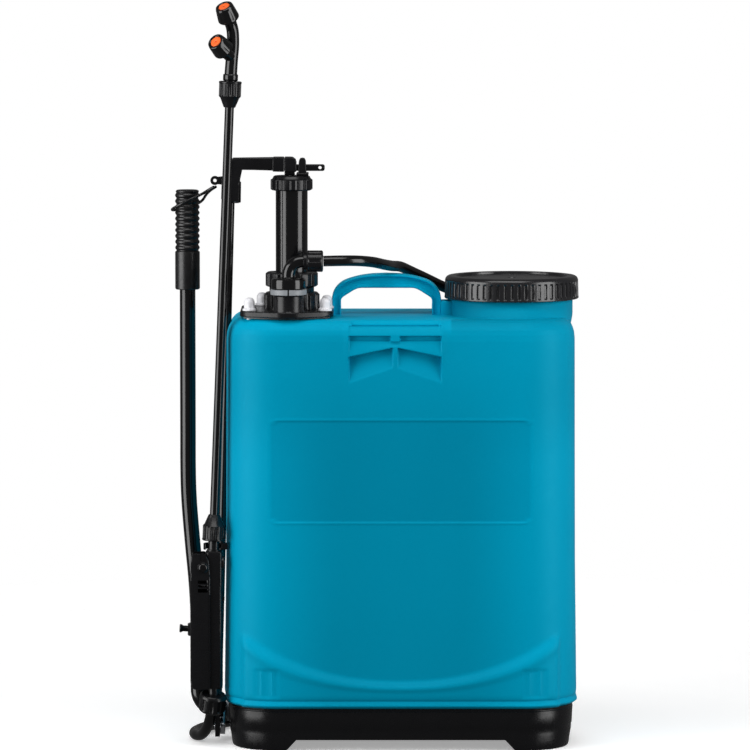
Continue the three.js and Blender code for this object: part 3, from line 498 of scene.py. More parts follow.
def woven_material(name, rgb, thread, sheen):
    """Crossing threads: two waves at right angles, broken up a little."""
    shader = Shader(name, linear(*rgb), Sheen_Weight=sheen, Roughness=0.85)
    waves = []
    for direction in ("X", "Z"):
        wave = shader.node("ShaderNodeTexWave", bands_direction=direction, Distortion=0.6)
        wave.inputs["Scale"].default_value = 1 / thread / 6.28
        shader.link(shader.place, wave.inputs["Vector"])
        waves.append(wave.outputs["Fac"])
    weave = shader.maths("MULTIPLY", *waves)
    shader.tint(weave, 0.7, 1.7, 0.1, 0.9)
    shader.rough(shader.noise(300, 3), 0.75, 0.95)
    shader.bump(weave, 0.7, 0.0004)
    return shader.material


def make_materials():
    return {
        "tank_plastic": tank_material(),
        "black_plastic": moulded("black_plastic", (13, 13, 15), 0.27, Specular_IOR_Level=0.36),
        "cap_plastic": moulded("cap_plastic", (26, 26, 28), 0.22, grain=0.1, Specular_IOR_Level=0.6),
        "black_gloss": moulded("black_gloss", (10, 10, 11), 0.13, grain=0.06, spread=0.03),
        "rubber": rubber_material(),
        "steel": metal_material("steel", (190, 192, 196), 0.25, 1, (1, 1, 0.05)),
        "black_steel": metal_material("black_steel", (9, 9, 10), 0.13, 0, (1, 1, 0.05)),
        "white_plastic": moulded("white_plastic", (226, 226, 230), 0.34, grain=0.1),
        "grey_plastic": moulded("grey_plastic", (128, 132, 136), 0.4, grain=0.15),
        "orange_plastic": moulded("orange_plastic", (240, 104, 44), 0.38, grain=0.15),
        "webbing": woven_material("webbing", (40, 40, 44), 1.3 * MM, 0.3),
        "pad_fabric": woven_material("pad_fabric", (50, 50, 56), 1.0 * MM, 0.5),
        "strainer_plastic": moulded("strainer_plastic", (38, 38, 42), 0.5),
        "hose_plastic": moulded("hose_plastic", (10, 10, 11), 0.17, grain=0.08, spread=0.04),
    }


MATERIALS = make_materials()

# ---------------------------------------------------------------- camera, floor and light

VIEW_WIDTH = 0.799
CAMERA_DISTANCE = 6.0
AIM = Vector((-0.0016, FRONT, 0.405))


def aimed_at(obj, target):
    obj.rotation_euler = (Vector(target) - obj.location).to_track_quat("-Z", "Y").to_euler()


def make_camera():
    camera = bpy.data.objects.new("camera", bpy.data.cameras.new("camera"))
    bpy.context.scene.collection.objects.link(camera)
    camera.location = AIM + CAMERA_DISTANCE * Vector((0, -math.cos(ELEVATION), math.sin(ELEVATION)))
    aimed_at(camera, AIM)
    camera.data.lens = camera.data.sensor_width * CAMERA_DISTANCE / VIEW_WIDTH
    camera.data.clip_end = 200
    bpy.context.scene.camera = camera


def soft_light(name, azimuth, elevation, distance, size, radiance, glossy=True):
    """A soft box, seen in reflections if glossy. Azimuth 0 is on the camera's side."""
    light = bpy.data.lights.new(name, "AREA")
    light.shape = "RECTANGLE"
    light.size, light.size_y = size
    light.energy = radiance * size[0] * size[1] * math.pi
    obj = bpy.data.objects.new(name, light)
    bpy.context.scene.collection.objects.link(obj)
    obj.visible_glossy = glossy
    a, e = math.radians(azimuth), math.radians(elevation)
    middle = Vector((0, MID, 0.4))
    way = Vector((math.sin(a) * math.cos(e), -math.cos(a) * math.cos(e), math.sin(e)))
    obj.location = middle + distance * way
    aimed_at(obj, middle)


def make_floor():
    """A pale floor that fades into the white surroundings."""
    bm = turned([(0, -0.02), (3.4, -0.02), (3.4, 0), (0, 0)], sides=96)
    floor = mesh_object("floor", bm)
    shader = Shader("floor", (0.93, 0.93, 0.93), Roughness=0.9)
    shader.bsdf.inputs["Specular IOR Level"].default_value = 0.1
    shader.bsdf.inputs["Emission Color"].default_value = (1, 1, 1, 1)
    shader.bsdf.inputs["Emission Strength"].default_value = 0.34
    gradient = shader.node("ShaderNodeTexGradient", gradient_type="SPHERICAL")
    mapping = shader.node("ShaderNodeMapping")
    mapping.inputs["Scale"].default_value = (1 / 3.2, 1 / 3.2, 1)
    shader.link(shader.place, mapping.inputs["Vector"])
    shader.link(mapping.outputs["Vector"], gradient.inputs["Vector"])
    shader.link(shader.spread(gradient.outputs["Fac"], 0, 1, 0.55, 0.93), shader.bsdf.inputs["Alpha"])
    floor.data.materials.append(shader.material)
    floor.visible_glossy = False
    floor.visible_diffuse = False


def make_world():
    """White to the camera and dim for everything else, so that black plastic stays black."""
    world = bpy.data.worlds.new("studio")
    bpy.context.scene.world = world
    world.use_nodes = True
    tree = world.node_tree
    tree.nodes.clear()
    path = tree.nodes.new("ShaderNodeLightPath")
    seen, dim = tree.nodes.new("ShaderNodeBackground"), tree.nodes.new("ShaderNodeBackground")
    seen.inputs["Color"].default_value = (1, 1, 1, 1)
    seen.inputs["Strength"].default_value = 1.0
    dim.inputs["Strength"].default_value = 0.12
    dim.inputs["Color"].default_value = (1, 1, 1, 1)
    mix = tree.nodes.new("ShaderNodeMixShader")
    out = tree.nodes.new("ShaderNodeOutputWorld")
    tree.links.new(path.outputs["Is Camera Ray"], mix.inputs["Fac"])
    tree.links.new(dim.outputs["Background"], mix.inputs[1])
    tree.links.new(seen.outputs["Background"], mix.inputs[2])
    tree.links.new(mix.outputs["Shader"], out.inputs["Surface"])


def make_studio():
    make_camera()
    make_floor()
    make_world()
    soft_light("strip_left", -64, 3, 2.3, (1.7, 2.6), 4.4)
    soft_light("strip_right", 62, 3, 2.3, (1.3, 2.6), 4.4)
    soft_light("box_top", -6, 62, 2.4, (2.2, 1.3), 3.2)
    soft_light("fill_front", 4, 12, 3.2, (2.2, 1.6), 0.5, glossy=False)
    soft_light("box_rear", 180, 30, 2.6, (2.2, 2.0), 1.8, glossy=False)
    bpy.context.scene.view_settings.view_transform = "Standard"


make_studio()

# ---------------------------------------------------------------- cords

HOSE_LENGTH, HOSE_DIAMETER = 1.125, 0.0115
LOOP_LENGTH, LOOP_DIAMETER = 0.172, 0.003
HOSE_ROUTE = [
    (-0.0567, -0.0725, 0.525), (-0.038, -0.072, 0.5254), (-0.02, -0.0645, 0.5248),
    (-0.004, -0.0475, 0.5223), (0.008, -0.0245, 0.5182), (0.017, 0, 0.515),
    (0.026, 0.017, 0.513), (0.038, 0.034, 0.5065), (0.054, 0.05, 0.498),
    (0.074, 0.064, 0.4875), (0.098, 0.08, 0.478), (0.12, 0.095, 0.465),
    (0.133, 0.1035, 0.445), (0.138, 0.105, 0.42), (0.14, 0.1045, 0.375),
    (0.139, 0.1045, 0.318), (0.136, 0.1045, 0.258), (0.13, 0.1045, 0.2),
    (0.119, 0.1045, 0.142), (0.103, 0.105, 0.092), (0.08, 0.1055, 0.05),
    (0.052, 0.106, 0.022), (0.02, 0.1065, 0.009), (-0.015, 0.107, 0.0062),
    (-0.06, 0.107, 0.0062), (-0.105, 0.105, 0.0062), (-0.142, 0.095, 0.0062),
    (-0.168, 0.073, 0.0062), (-0.184, 0.047, 0.0062), (-0.194, 0.022, 0.0062),
    (-0.198, 0.002, 0.0062), (-0.1956, -0.0171, 0.0062), (-0.1898, -0.03, 0.0084),
    (-0.1847, -0.0417, 0.015), (-0.1806, -0.051, 0.0251), (-0.1779, -0.0568, 0.037),
]
LOOP_ROUTE = [
    (-0.1752, -0.0132, 0.6012), (-0.182, -0.009, 0.597), (-0.19, 0.011, 0.5915),
    (-0.2, 0.0086, 0.587), (-0.211, 0.0094, 0.5815), (-0.2196, 0.017, 0.5765),
    (-0.2214, 0.027, 0.574), (-0.217, 0.0365, 0.5735), (-0.205, 0.041, 0.576),
    (-0.194, 0.0366, 0.5805), (-0.1884, 0.025, 0.585), (-0.1845, 0.011, 0.591),
    (-0.179, -0.004, 0.597), (-0.173, -0.0106, 0.6012),
]


def from_mid_plane(route):
    """The route's depths are measured from the tank's mid-plane."""
    return [(x, y + MID, z) for x, y, z in route]


def make_cords():
    hose_line = catmull(from_mid_plane(HOSE_ROUTE), 8)
    hose = piece("hose", [tube(hose_line, HOSE_DIAMETER / 2, 28)], "root", "hose_plastic")
    loop_line = catmull(from_mid_plane(LOOP_ROUTE), 8)
    loop = piece("retaining_loop", [tube(loop_line, LOOP_DIAMETER / 2, 14)], "crosshead", "rubber")
    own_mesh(loop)


make_cords()

# ---------------------------------------------------------------- tank

TANK_BOTTOM = 46.3 * MM
DECK = 463 * MM
SMILE_HALF = 165 * MM
APRON = 5 * MM


def step_up(value, start, end):
    t = np.clip((value - start) / (end - start), 0, 1)
    return t * t * (3 - 2 * t)


def band(value, low, high, ramp):
    """1 between two limits, with soft edges that lie inside them."""
    return step_up(value, low, low + ramp) * (1 - step_up(value, high - ramp, high))


def rounded_outline(half_width, half_depth, corner, spacings):
    """Points and outward normals round a rounded rectangle, with a spacing for each stretch."""
    front, side, bend = spacings
    straight_x = half_width - corner
    straight_y = half_depth - corner
    points, normals = [], []

    def add_line(start, end, normal, shares):
        for s in shares:
            points.append(start + (end - start) * s)
            normals.append(normal)

    def add_corner(cx, cy, first):
        for k in range(1, bend):
            a = math.radians(first + 90 * k / bend)
            way = np.array([math.cos(a), math.sin(a)])
            points.append(np.array([cx, cy]) + corner * way)
            normals.append(way)

    v = np.array
    add_line(v([-straight_x, -half_depth]), v([straight_x, -half_depth]), v([0, -1.0]), front)
    add_corner(straight_x, -straight_y, -90)
    add_line(v([half_width, -straight_y]), v([half_width, straight_y]), v([1.0, 0]), side)
    add_corner(straight_x, straight_y, 0)
    add_line(v([straight_x, half_depth]), v([-straight_x, half_depth]), v([0, 1.0]), np.linspace(0, 1, 90))
    add_corner(-straight_x, straight_y, 90)
    add_line(v([-half_width, straight_y]), v([-half_width, -straight_y]), v([-1.0, 0]), side)
    add_corner(-straight_x, -straight_y, 180)
    return np.array(points), np.array(normals)


def graded(low, high, coarse, fine_zones, fine):
    """Values from low to high, close together inside the fine zones."""
    values, at = [low], low
    while at < high - 1e-9:
        near = any(a - coarse <= at <= b for a, b in fine_zones)
        at = min(at + (fine if near else coarse), high)
        values.append(at)
    return np.array(values)


def wall_inset(z):
    """How far the wall stands in from its widest section."""
    heights = np.array([46.3, 48, 52, 60, 200, 330, 440, 447, 452, 456, 459.5, 462, 463]) * MM
    insets = np.array([3.5, 1.6, 1.0, 0, 1.8, 2.4, 2.8, 3.5, 5, 7.4, 10.5, 14, 18]) * MM
    return np.interp(z, heights, insets)


def smile_line(x):
    share = np.abs(x - TANK_X) / SMILE_HALF
    return (76.8 + 50 * share**2.2) * MM, (9.5 + 14 * share**2 * (1 - 0.6 * share**6)) * MM


def front_relief(x, z):
    """How far the front stands out at each place, in metres: the apron below its smiling
    edge, the faint rib groups, the plain panel and the recesses below the handle."""
    edge, width = smile_line(x)
    across = 1 - step_up(np.abs(x - TANK_X), SMILE_HALF - 1 * MM, SMILE_HALF + 7 * MM)
    out = APRON * (1 - step_up(z, edge - width, edge)) * across
    out = out + 1.1 * MM * band(z, edge - width * 1.5, edge - width * 0.1, width * 0.6) * across
    for side in (-1, 1):
        for k in range(3):
            middle = TANK_X + side * (SMILE_HALF - (14 + 8.5 * k) * MM)
            flute = band(x, middle - 3 * MM, middle + 3 * MM, 1.4 * MM)
            out = out - 1.4 * MM * flute * band(z, 57 * MM, 90 * MM, 3 * MM)
    out = out - 0.6 * MM * panel_mask(x, z)
    out = out + 0.5 * MM * np.exp(-(((panel_gap(x, z) - 1.0 * MM) / (1.1 * MM)) ** 2))
    left, right = -29.3 * MM, 69.2 * MM
    middle = (left + right) / 2
    rib = 2.6 * MM
    soft = 0.9 * MM
    inside = band(x, left - soft, right + soft, 1.6 * MM)
    block = band(x, left - 8 * MM, right + 8 * MM, 7 * MM) * step_up(z, 408 * MM, 436 * MM)
    out = out + 1.2 * MM * block * (1 - step_up(z, 458 * MM, 463 * MM))
    notch = band(x, left + (463 * MM - z) * 0.25, right - (463 * MM - z) * 0.25, 1.6 * MM)
    fall = np.clip((463 * MM - z) / (7 * MM), 0, 1)
    out = out - 5.2 * MM * notch * fall * step_up(z, 455.4 * MM, 457 * MM)
    slat = step_up(z, 446.5 * MM, 456.5 * MM) * (z < 456.6 * MM)
    out = out - 1.6 * MM * inside * slat
    beside_rib = step_up(np.abs(x - middle), 4.4 * MM, 5.6 * MM)
    slot_top = 446.6 * MM
    out = out - 5.5 * MM * inside * beside_rib * band(z, 440.2 * MM, slot_top, 0.9 * MM)
    lean = np.abs(x - middle) - rib
    top = 433.3 * MM - lean * 0.21
    low = 411 * MM - lean * 0.34
    ramp_up = step_up(z, top, 440.4 * MM) * (z < 440.5 * MM) * (z >= top)
    out = out - 3.0 * MM * inside * ramp_up
    depth = (8.5 + 2.0 * lean / (46 * MM)) * MM
    floor_share = np.clip((z - low) / np.maximum(top - low, MM), 0, 1)
    pocket = step_up(z, low - soft, low + 3 * soft) * (1 - step_up(z, top - soft, top + soft))
    beside = step_up(np.abs(x - middle), rib - 0.4 * MM, rib + 0.8 * MM)
    return out - depth * floor_share * inside * pocket * beside


def panel_gap(x, z):
    """How far a place lies outside the edge of the plain panel on the front; negative inside."""
    half_x, half_z, corner = 138.8 * MM, 54.5 * MM, 8 * MM
    u = np.abs(x - 25.9 * MM) - (half_x - corner)
    v = np.abs(z - 301 * MM) - (half_z - corner)
    return np.hypot(np.maximum(u, 0), np.maximum(v, 0)) + np.minimum(np.maximum(u, v), 0) - corner


def panel_mask(x, z):
    """1 on the faint rounded rectangle on the front."""
    return 1 - step_up(panel_gap(x, z), -1.2 * MM, 0)


def back_relief(x, z):
    """A shallow hollow for the wearer's back, with three upright channels in it."""
    u = (x - TANK_X) / (118 * MM)
    v = (z - 250 * MM) / (168 * MM)
    hollow = 1 - step_up(u**4 + v**4, 0.55, 1.0)
    channel = sum(np.exp(-(((x - TANK_X - k * 46 * MM) / (5 * MM)) ** 2)) for k in (-1, 0, 1))
    return -(6.5 * MM + 2.4 * MM * channel) * hollow


def groove_depth(y, z, surface_x):
    """The depth of the groove down the left wall that the pull rod runs in."""
    low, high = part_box("pull_rod")
    start, end = low[0] + PULL_ROD_RADIUS, high[0] - PULL_ROD_RADIUS
    middle = start + (end - start) * (z - low[2]) / (high[2] - low[2])
    reach = 6.4 * MM
    aside = np.clip(1 - ((y - ROD_Y) / reach) ** 2, 0, None)
    wanted = middle + reach * np.sqrt(aside) - surface_x
    blend = step_up(z, 104 * MM, 118 * MM)
    return np.where(aside > 0, np.clip(wanted, 0, None), 0) * blend


def tank_wall(inset=0.0):
    """The wall as a closed body. With an inset it is the plain hollow inside."""
    plain = inset > 0
    low, high = TANK_BOTTOM + inset, DECK - inset
    corner = 60 * MM - inset
    straight = 2 * (HALF_WIDTH - 60 * MM)
    if plain:
        front, side = np.linspace(0, 1, 12), np.linspace(0, 1, 6)
        heights = np.array([low, 60 * MM, 200 * MM, 330 * MM, 440 * MM, 452 * MM, high])
        bend = 8
    else:
        start = TANK_X - straight / 2
        zones = [span(-116, -109), span(-36, 76), span(161, 168)]
        xs = graded(start, start + straight, 2.2 * MM, zones, 0.8 * MM)
        front = (xs - start) / straight
        side = np.linspace(0, 1, 70)
        zones = [span(46, 56), span(243, 250), span(352, 360), span(396, 463)]
        heights = graded(low, high, 1.5 * MM, zones, 0.75 * MM)
        bend = 26
    outline, normals = rounded_outline(HALF_WIDTH - inset, HALF_DEPTH - inset, corner, (front, side, bend))
    verts = []
    for z in heights:
        ring_inset = wall_inset(z)
        x = TANK_X + outline[:, 0] - normals[:, 0] * ring_inset
        y = MID + outline[:, 1] - normals[:, 1] * ring_inset
        if not plain:
            out = front_relief(x, np.full_like(x, z)) * (normals[:, 1] < -0.6)
            out = out + back_relief(x, z) * (normals[:, 1] > 0.98)
            out = out - np.where(normals[:, 0] < -0.98, groove_depth(y, z, x), 0)
            out = out + bottom_bead(z) * (1 - 0.4 * step_up(-normals[:, 0], 0.7, 0.98))
            x, y = x + normals[:, 0] * out, y + normals[:, 1] * out
        verts.append(np.stack([x, y, np.full_like(x, z)], axis=1))
    return loft(verts)


def bottom_bead(z):
    """A rolled bead with a narrow line above it, where the tank meets its base."""
    bead = 2.2 * MM * np.exp(-(((z - 49.5 * MM) / (2.4 * MM)) ** 2))
    line = 0.8 * MM * np.exp(-(((z - 54.6 * MM) / (1.0 * MM)) ** 2))
    return bead - line


def handle_body_of():
    """The carrying handle: one band through legs and arch, with a raised rim each side."""
    left, right, foot = -48 * MM, 69.7 * MM, DECK - 4 * MM
    middle = (left + right) / 2
    inner_left = left + 9.8 * MM
    outer = scaled([(0, 470), (0, 481), (3, 490), (11, 498), (26, 503.5), (42, 506.2)], left)
    inner = scaled([(0, 470), (0, 478), (1, 481), (8, 486), (18, 491.4), (30, 492)], inner_left)
    outer = whole_arch([(left, foot), *outer, (middle, 507 * MM)])
    inner = whole_arch([(inner_left, foot), *inner, (middle, 492 * MM)])
    depth = 14 * MM
    rim = [
        (0.0, -0.86), (0.05, -1.0), (0.16, -1.0), (0.24, -0.8), (0.76, -0.8), (0.84, -1.0), (0.95, -1.0),
        (1.0, -0.86),
    ]
    section = rim + [(s, -t) for s, t in reversed(rim)]
    verts, rows = [], []
    for (ox, oz), (ix, iz) in zip(outer, inner):
        rows.append(list(range(len(verts), len(verts) + len(section))))
        for s, t in section:
            verts.append((ix + (ox - ix) * s, MID + depth * t, iz + (oz - iz) * s))
    faces = grid_faces(rows) + [rows[0][::-1], rows[-1]]
    return body_of(verts, faces, 0.0006, 2, angle=35)


def whole_arch(half):
    """A smooth arch, from the points of its left half up to the middle."""
    line = [(x, z) for x, _, z in catmull([(x, 0, z) for x, z in half], 6)]
    return line + [(2 * half[-1][0] - x, z) for x, z in reversed(line[:-1])]


def neck_tower():
    """The filler tower flares forwards into the front wall and ends in its threaded mouth."""
    sizes = [
        (455, 64.5, 82), (459, 65.2, 81), (462, 65.8, 78), (466, 66, 74), (471, 66, 70), (476, 66, 67),
        (479, 66, 66), (480, 65.4, 65.4), (480.1, 62.2, 62.2), (496.4, 62.2, 62.2), (497, 61.4, 61.4),
    ]
    angles = np.linspace(0, 2 * math.pi, 96, endpoint=False)
    levels = []
    for z, wide, front in sizes:
        deep = np.where(np.sin(angles) < 0, front, 66 if z < 480 else front)
        levels.append([
            (CAP_X + wide * MM * math.cos(a), CAP_Y + d * MM * math.sin(a), z * MM)
            for a, d in zip(angles, deep)
        ])
    return loft(levels)


def neck_thread():
    """A single raised thread that winds round the mouth."""
    turns, steps = 2.2, 150
    path = []
    for i in range(steps + 1):
        a = 2 * math.pi * turns * i / steps
        radius = (62.4 + 0.9 * min(1, 6 * min(i, steps - i) / steps)) * MM
        level = (483.5 + 9.5 * i / steps) * MM
        path.append((CAP_X + radius * math.cos(a), CAP_Y + radius * math.sin(a), level))
    return tube(path, 1.3 * MM, 10)


def strap_holder(x, wall, z):
    """Two posts out of the wall, and the bar between them that a strap goes round."""
    reach = 25 * MM
    out = 75 * MM
    posts = [
        box(around(end, 2.5), (wall, out + 4 * MM), around(z, 6), 1.2 * MM, 3)
        for end in (x - reach, x + reach)
    ]
    return posts + [rod((x - reach, out, z), (x + reach, out, z), 3.5 * MM, 24)]


STRAP_SPREAD = 75 * MM
STRAP_SPLAY = 50 * MM
HOLDER_TOP = 431 * MM
HOLDER_LOW = 30 * MM


def tank_cavity():
    """The hollow inside, clear of the pressed-in recesses and of the pull rod's groove."""
    guard = box(span(-34, 74), (FRONT - MM, FRONT + 17 * MM), span(394, 470), 0)
    low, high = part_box("pull_rod")
    groove = rod((low[0] + 3 * MM, ROD_Y, 0.1), (high[0] - 6 * MM, ROD_Y, 0.48), 12 * MM, 24)
    back = box(
        around(TANK_X, 126), (MID + HALF_DEPTH - 13 * MM, MID + HALF_DEPTH), span(70, 430), 0
    )
    return joined([tank_wall(3 * MM)], [guard, groove, back])


def make_tank():
    web = box(span(69, 84), around(MID, 14), span(458, 478), 2 * MM, 3)
    bodies = [tank_wall(), handle_body_of(), neck_tower(), neck_thread(), web]
    for side in (-1, 1):
        bodies += strap_holder(TANK_X + side * STRAP_SPREAD, MID + HALF_DEPTH - 4.5 * MM, HOLDER_TOP)
    cuts = [
        tank_cavity(),
        post(CAP_X, CAP_Y, 0.44, 0.51, 56, 96),
        post(PUMP_X, PUMP_Y, 0.44, 0.47, 21.2, 48),
    ]
    tank = fused("tank_shell_shape", bodies, cuts)
    coordinates = np.empty(len(tank.data.vertices) * 3)
    tank.data.vertices.foreach_get("co", coordinates)
    x, y, z = coordinates.reshape(-1, 3).T
    mask = panel_mask(x, z) * (y < FRONT + 8 * MM)
    # The wall values are painted light and shade on the tank's colour. They lighten it towards the left and
    # right edges (less so high up) and a little towards the top. Above the deck they lighten it strongly left
    # of the neck and darken the neck, as the side and top lights would.
    away = np.abs(x - TANK_X)
    wall = 0.79 + 0.3 * step_up(away, 60 * MM, 175 * MM) * (1 - 0.7 * step_up(z, 300 * MM, 400 * MM))
    wall = wall + 0.09 * step_up(z, 330 * MM, 440 * MM)
    wall = wall + np.where(x < 80 * MM, 0.32, -0.1) * step_up(z, 442 * MM, 470 * MM)
    for name, values in (("panel", mask), ("wall", wall)):
        attribute = tank.data.attributes.new(name, "FLOAT", "POINT")
        attribute.data.foreach_set("value", values.astype(np.float32))
    finished(tank, "root", "tank_plastic", ["tank_shell"], angle=40)


# ---------------------------------------------------------------- base

BASE_HALF_WIDTH = 186 * MM
BASE_HALF_DEPTH = 97 * MM
BASE_CORNER = 58 * MM
SHAFT_Z = 28 * MM


def base_outline(inset, z):
    outline, _ = rounded_outline(
        BASE_HALF_WIDTH - inset, BASE_HALF_DEPTH - inset, BASE_CORNER - inset,
        (np.linspace(0, 1, 60), np.linspace(0, 1, 24), 14),
    )
    return [(TANK_X + x, MID + y, z) for x, y in outline]


def make_base():
    skin = [(0, 6), (0.8, 4.9), (2.4, 4.2), (10, 3.2), (18, 1.8), (24, 1.5), (25, 0.9), (38, 0.3), (42.4, 0)]
    skin += [(43.2, 0.7), (44.2, 0.7), (45, 0.2), (46, 0.6)]
    hollow = [(-1, 8.2), (12, 7), (38, 4), (41, 4.2)]
    outer = loft([base_outline(inset * MM, z * MM) for z, inset in skin])
    inner = loft([base_outline(inset * MM, z * MM) for z, inset in hollow])
    arch = [(-98 * MM, -MM), span(-86, 12), span(138, 12), (150 * MM, -MM)]
    arch_cut = prism(arch, MID - 0.12, MID + 0.12, "y", 0)
    bodies = []
    for side in (-1, 1):
        bodies += strap_holder(
            TANK_X + side * (STRAP_SPREAD + STRAP_SPLAY), MID + BASE_HALF_DEPTH - 2.6 * MM, HOLDER_LOW
        )
    slots = [
        box(around(x, 6), (MID - 0.1, MID - BASE_HALF_DEPTH + 2 * MM), span(32, 34.4), 0.5 * MM)
        for x in span(-122, 174)
    ]
    wall_hole = rod((-170 * MM, LEVER_Y, SHAFT_Z), (-170 * MM + 25 * MM, LEVER_Y, SHAFT_Z), 11 * MM, 40)
    boss = spun(
        [(11, 0), (15, 0), (15, 9), (11, 9)],
        (-159.2 * MM, LEVER_Y, SHAFT_Z), (1, 0, 0), 48, ring=True,
    )
    rib = box(span(-66, -60), (LEVER_Y - 29 * MM, LEVER_Y + 35 * MM), span(13, 45))
    rib_hole = rod((-70 * MM, LEVER_Y, SHAFT_Z), (-55 * MM, LEVER_Y, SHAFT_Z), 11 * MM, 40)
    shell = joined([outer], [inner, arch_cut, *slots, wall_hole])
    piece("base_skirt", [shell, boss, rib, *bodies], "root", "black_plastic", [rib_hole], 32)


# ---------------------------------------------------------------- filler cap

def cap_rim(angle, height):
    """60 flat grip ribs round the rim, which run out at its top and bottom."""
    if not 482 * MM < height < 500 * MM:
        return 1.0
    phase = (angle * 60 / (2 * math.pi)) % 1
    rib = step_up(np.array(phase), 0.0, 0.12) * (1 - step_up(np.array(phase), 0.6, 0.72))
    tall = float(band(height, 482.6 * MM, 499.5 * MM, 1.5 * MM))
    return 1 - (1 - float(rib)) * tall * 0.022


def make_cap():
    profile = [
        (0, 498.5), (68.2, 498.5), (68.2, 480.4), (71.6, 480.4), (72.5, 481.2), (72.5, 482.4),
        (72.3, 483), (72.3, 484.2), (72.2, 490), (72.0, 497.6), (71.9, 499.5), (71.9, 500.4), (71.4, 502.2),
        (70.2, 503.8), (68.4, 504.8), (66.6, 505), (60.6, 505), (59.6, 504.4), (59, 502.5), (4.6, 502.5),
        (4.2, 501.9), (0, 501.7),
    ]
    body = spun(profile, (CAP_X, CAP_Y, 0), sides=960, swell=cap_rim)
    cap = piece("filler_cap", [body], "cap", "black_plastic")
    cap.data.materials[0] = MATERIALS["cap_plastic"]


make_tank()
make_base()
make_cap()

# ---------------------------------------------------------------- pump

PLATE_LOW, PLATE_HIGH = 464.9 * MM, 471 * MM


def knurled(count, depth, radius, share, low=-1, high=1):
    """Scales a turned body's radius so that count flat ribs stand round it between two heights."""

    def swell(angle, height):
        if not low < height < high:
            return 1.0
        phase = (angle * count / (2 * math.pi)) % 1
        rib = float(step_up(phase, 0.0, 0.16) * (1 - step_up(phase, share, share + 0.16)))
        return 1 - (1 - rib) * depth / radius

    return swell


def lobed_nut(radius, depth, lobes, low, high, bore):
    """A hand nut: broad lobes with grooves between them, and chamfered ends."""
    chamfer = 1.3 * MM
    profile = [
        (bore, low), (radius - 2 * chamfer, low), (radius, low + chamfer), (radius, low + 3 * chamfer),
        (radius, high - 3 * chamfer), (radius, high - chamfer), (radius - 2 * chamfer, high), (bore, high),
    ]
    return softened(profile, 0.8 * MM, 2), knurled(lobes, depth, radius, 0.6)


def make_plate():
    left, right, front, back = -146, -46, -90, 24
    outline = [
        (left, -66), (left + 7, -74), (-102, front), (-88, front), (right - 7, -74), (right, -66),
        (right, -20), (right - 12, -12), (right - 12, back - 7), (right - 19, back),
        (left + 7, back), (left, back - 7),
    ]
    plate = prism(scaled(outline, 0, MID), PLATE_LOW, PLATE_HIGH, "z", 1.1 * MM, 5 * MM, 3)
    boss = spun(
        [(0, 470), (17.4, 470), (16.2, 473.5), (16, 487.6), (15, 488.7), (0, 488.7)],
        (OUTLET_X, OUTLET_Y, 0), sides=64,
    )
    profile = [
        (0, 470), (30, 470), (30, 474), (30, 482), (30, 486), (27.6, 488.5), (24, 488.9), (24, 493.8),
        (23.4, 494.2), (0, 494.2),
    ]
    ribs = knurled(14, 1.7 * MM, 30 * MM, 0.68, 473 * MM, 487 * MM)
    collar = spun(profile, (PUMP_X, PUMP_Y, 0), sides=280, swell=ribs)
    bridge = box(
        (PUMP_X - 12 * MM, PUMP_X + 8 * MM), (MID - 60 * MM, MID - 48 * MM), span(470, 486), 1.5 * MM, 3
    )
    cuts = [
        post(PUMP_X, PUMP_Y, 0.46, 0.5, 17.5, 64),
        post(OUTLET_X, OUTLET_Y, 0.476, 0.495, 5, 32),
    ]
    piece("pump_flange", [plate, collar, boss, bridge], "root", "black_plastic", cuts)


def make_screws():
    """White cap nuts on their washers, over the four studs."""
    seat = 471.3
    profile = [
        (0, 456), (3, 456), (3, seat), (7.1, seat), (7.35, seat + 0.3), (7.35, seat + 1.8),
        (7.1, seat + 2.2), (6.3, seat + 2.4), (5.9, seat + 3.2), (5.8, seat + 7.6), (5.7, seat + 9.4),
        (5.2, seat + 11.2), (4.3, seat + 12.7), (3.0, seat + 13.6), (1.5, seat + 14), (0, seat + 14.05),
    ]
    for k in (1, 2, 3, 4):
        name = f"plate_screw_{k}"
        flats = knurled(6, 0.45 * MM, 5.9 * MM, 0.55, (seat + 3) * MM, (seat + 9) * MM)
        body = spun(profile, (*centre(name)[:2], 0), sides=72, swell=flats)
        piece(name, [body], "root", "white_plastic")


def make_pump():
    place = (PUMP_X, PUMP_Y, 0)
    profile, swell = lobed_nut(28.3 * MM, 2.0 * MM, 10, 494.5 * MM, 510.5 * MM, 17.5 * MM)
    nut = turned(profile, place, sides=280, ring=True, swell=swell)
    piece("cylinder_nut", [nut], "root", "black_plastic")
    barrel = [(14.7, 75), *[(17.2, h) for h in (75, 588, 590, 594, 597.4, 606)], (14.7, 606)]
    piece("pump_cylinder", [spun(barrel, place, sides=96, ring=True)], "root", "black_gloss")
    profile, swell = lobed_nut(22.7 * MM, 1.8 * MM, 9, 598 * MM, 611 * MM, 17.5 * MM)
    skirt = turned(profile, place, sides=252, ring=True, swell=swell)
    crown = spun(
        [(3.9, 606.4), (17.8, 606.4), (20.8, 610.8), (19.4, 613.4), (18.2, 614), (3.9, 614)],
        place, sides=96, ring=True,
    )
    piece("cylinder_top_nut", [skirt, crown], "root", "black_plastic")
    y = PUMP_Y
    plate = box(span(-86, -73), around(y, 12), span(614.3, 617.2), 0.8 * MM, 3)
    outline = scaled([
        (-84.2, 616), (-75.2, 616), (-76, 630), (-77.4, 632.6), (-79.7, 633), (-82, 632.6), (-83.4, 630),
    ])
    prongs = []
    for side in (-1, 1):
        near, far = sorted((y + side * 4.6 * MM, y + side * 8.4 * MM))
        prongs.append(prism(outline, near, far, "y", 0.8 * MM, 1 * MM, 3))
    piece("rod_guide", [plate, *prongs], "root", "black_plastic")


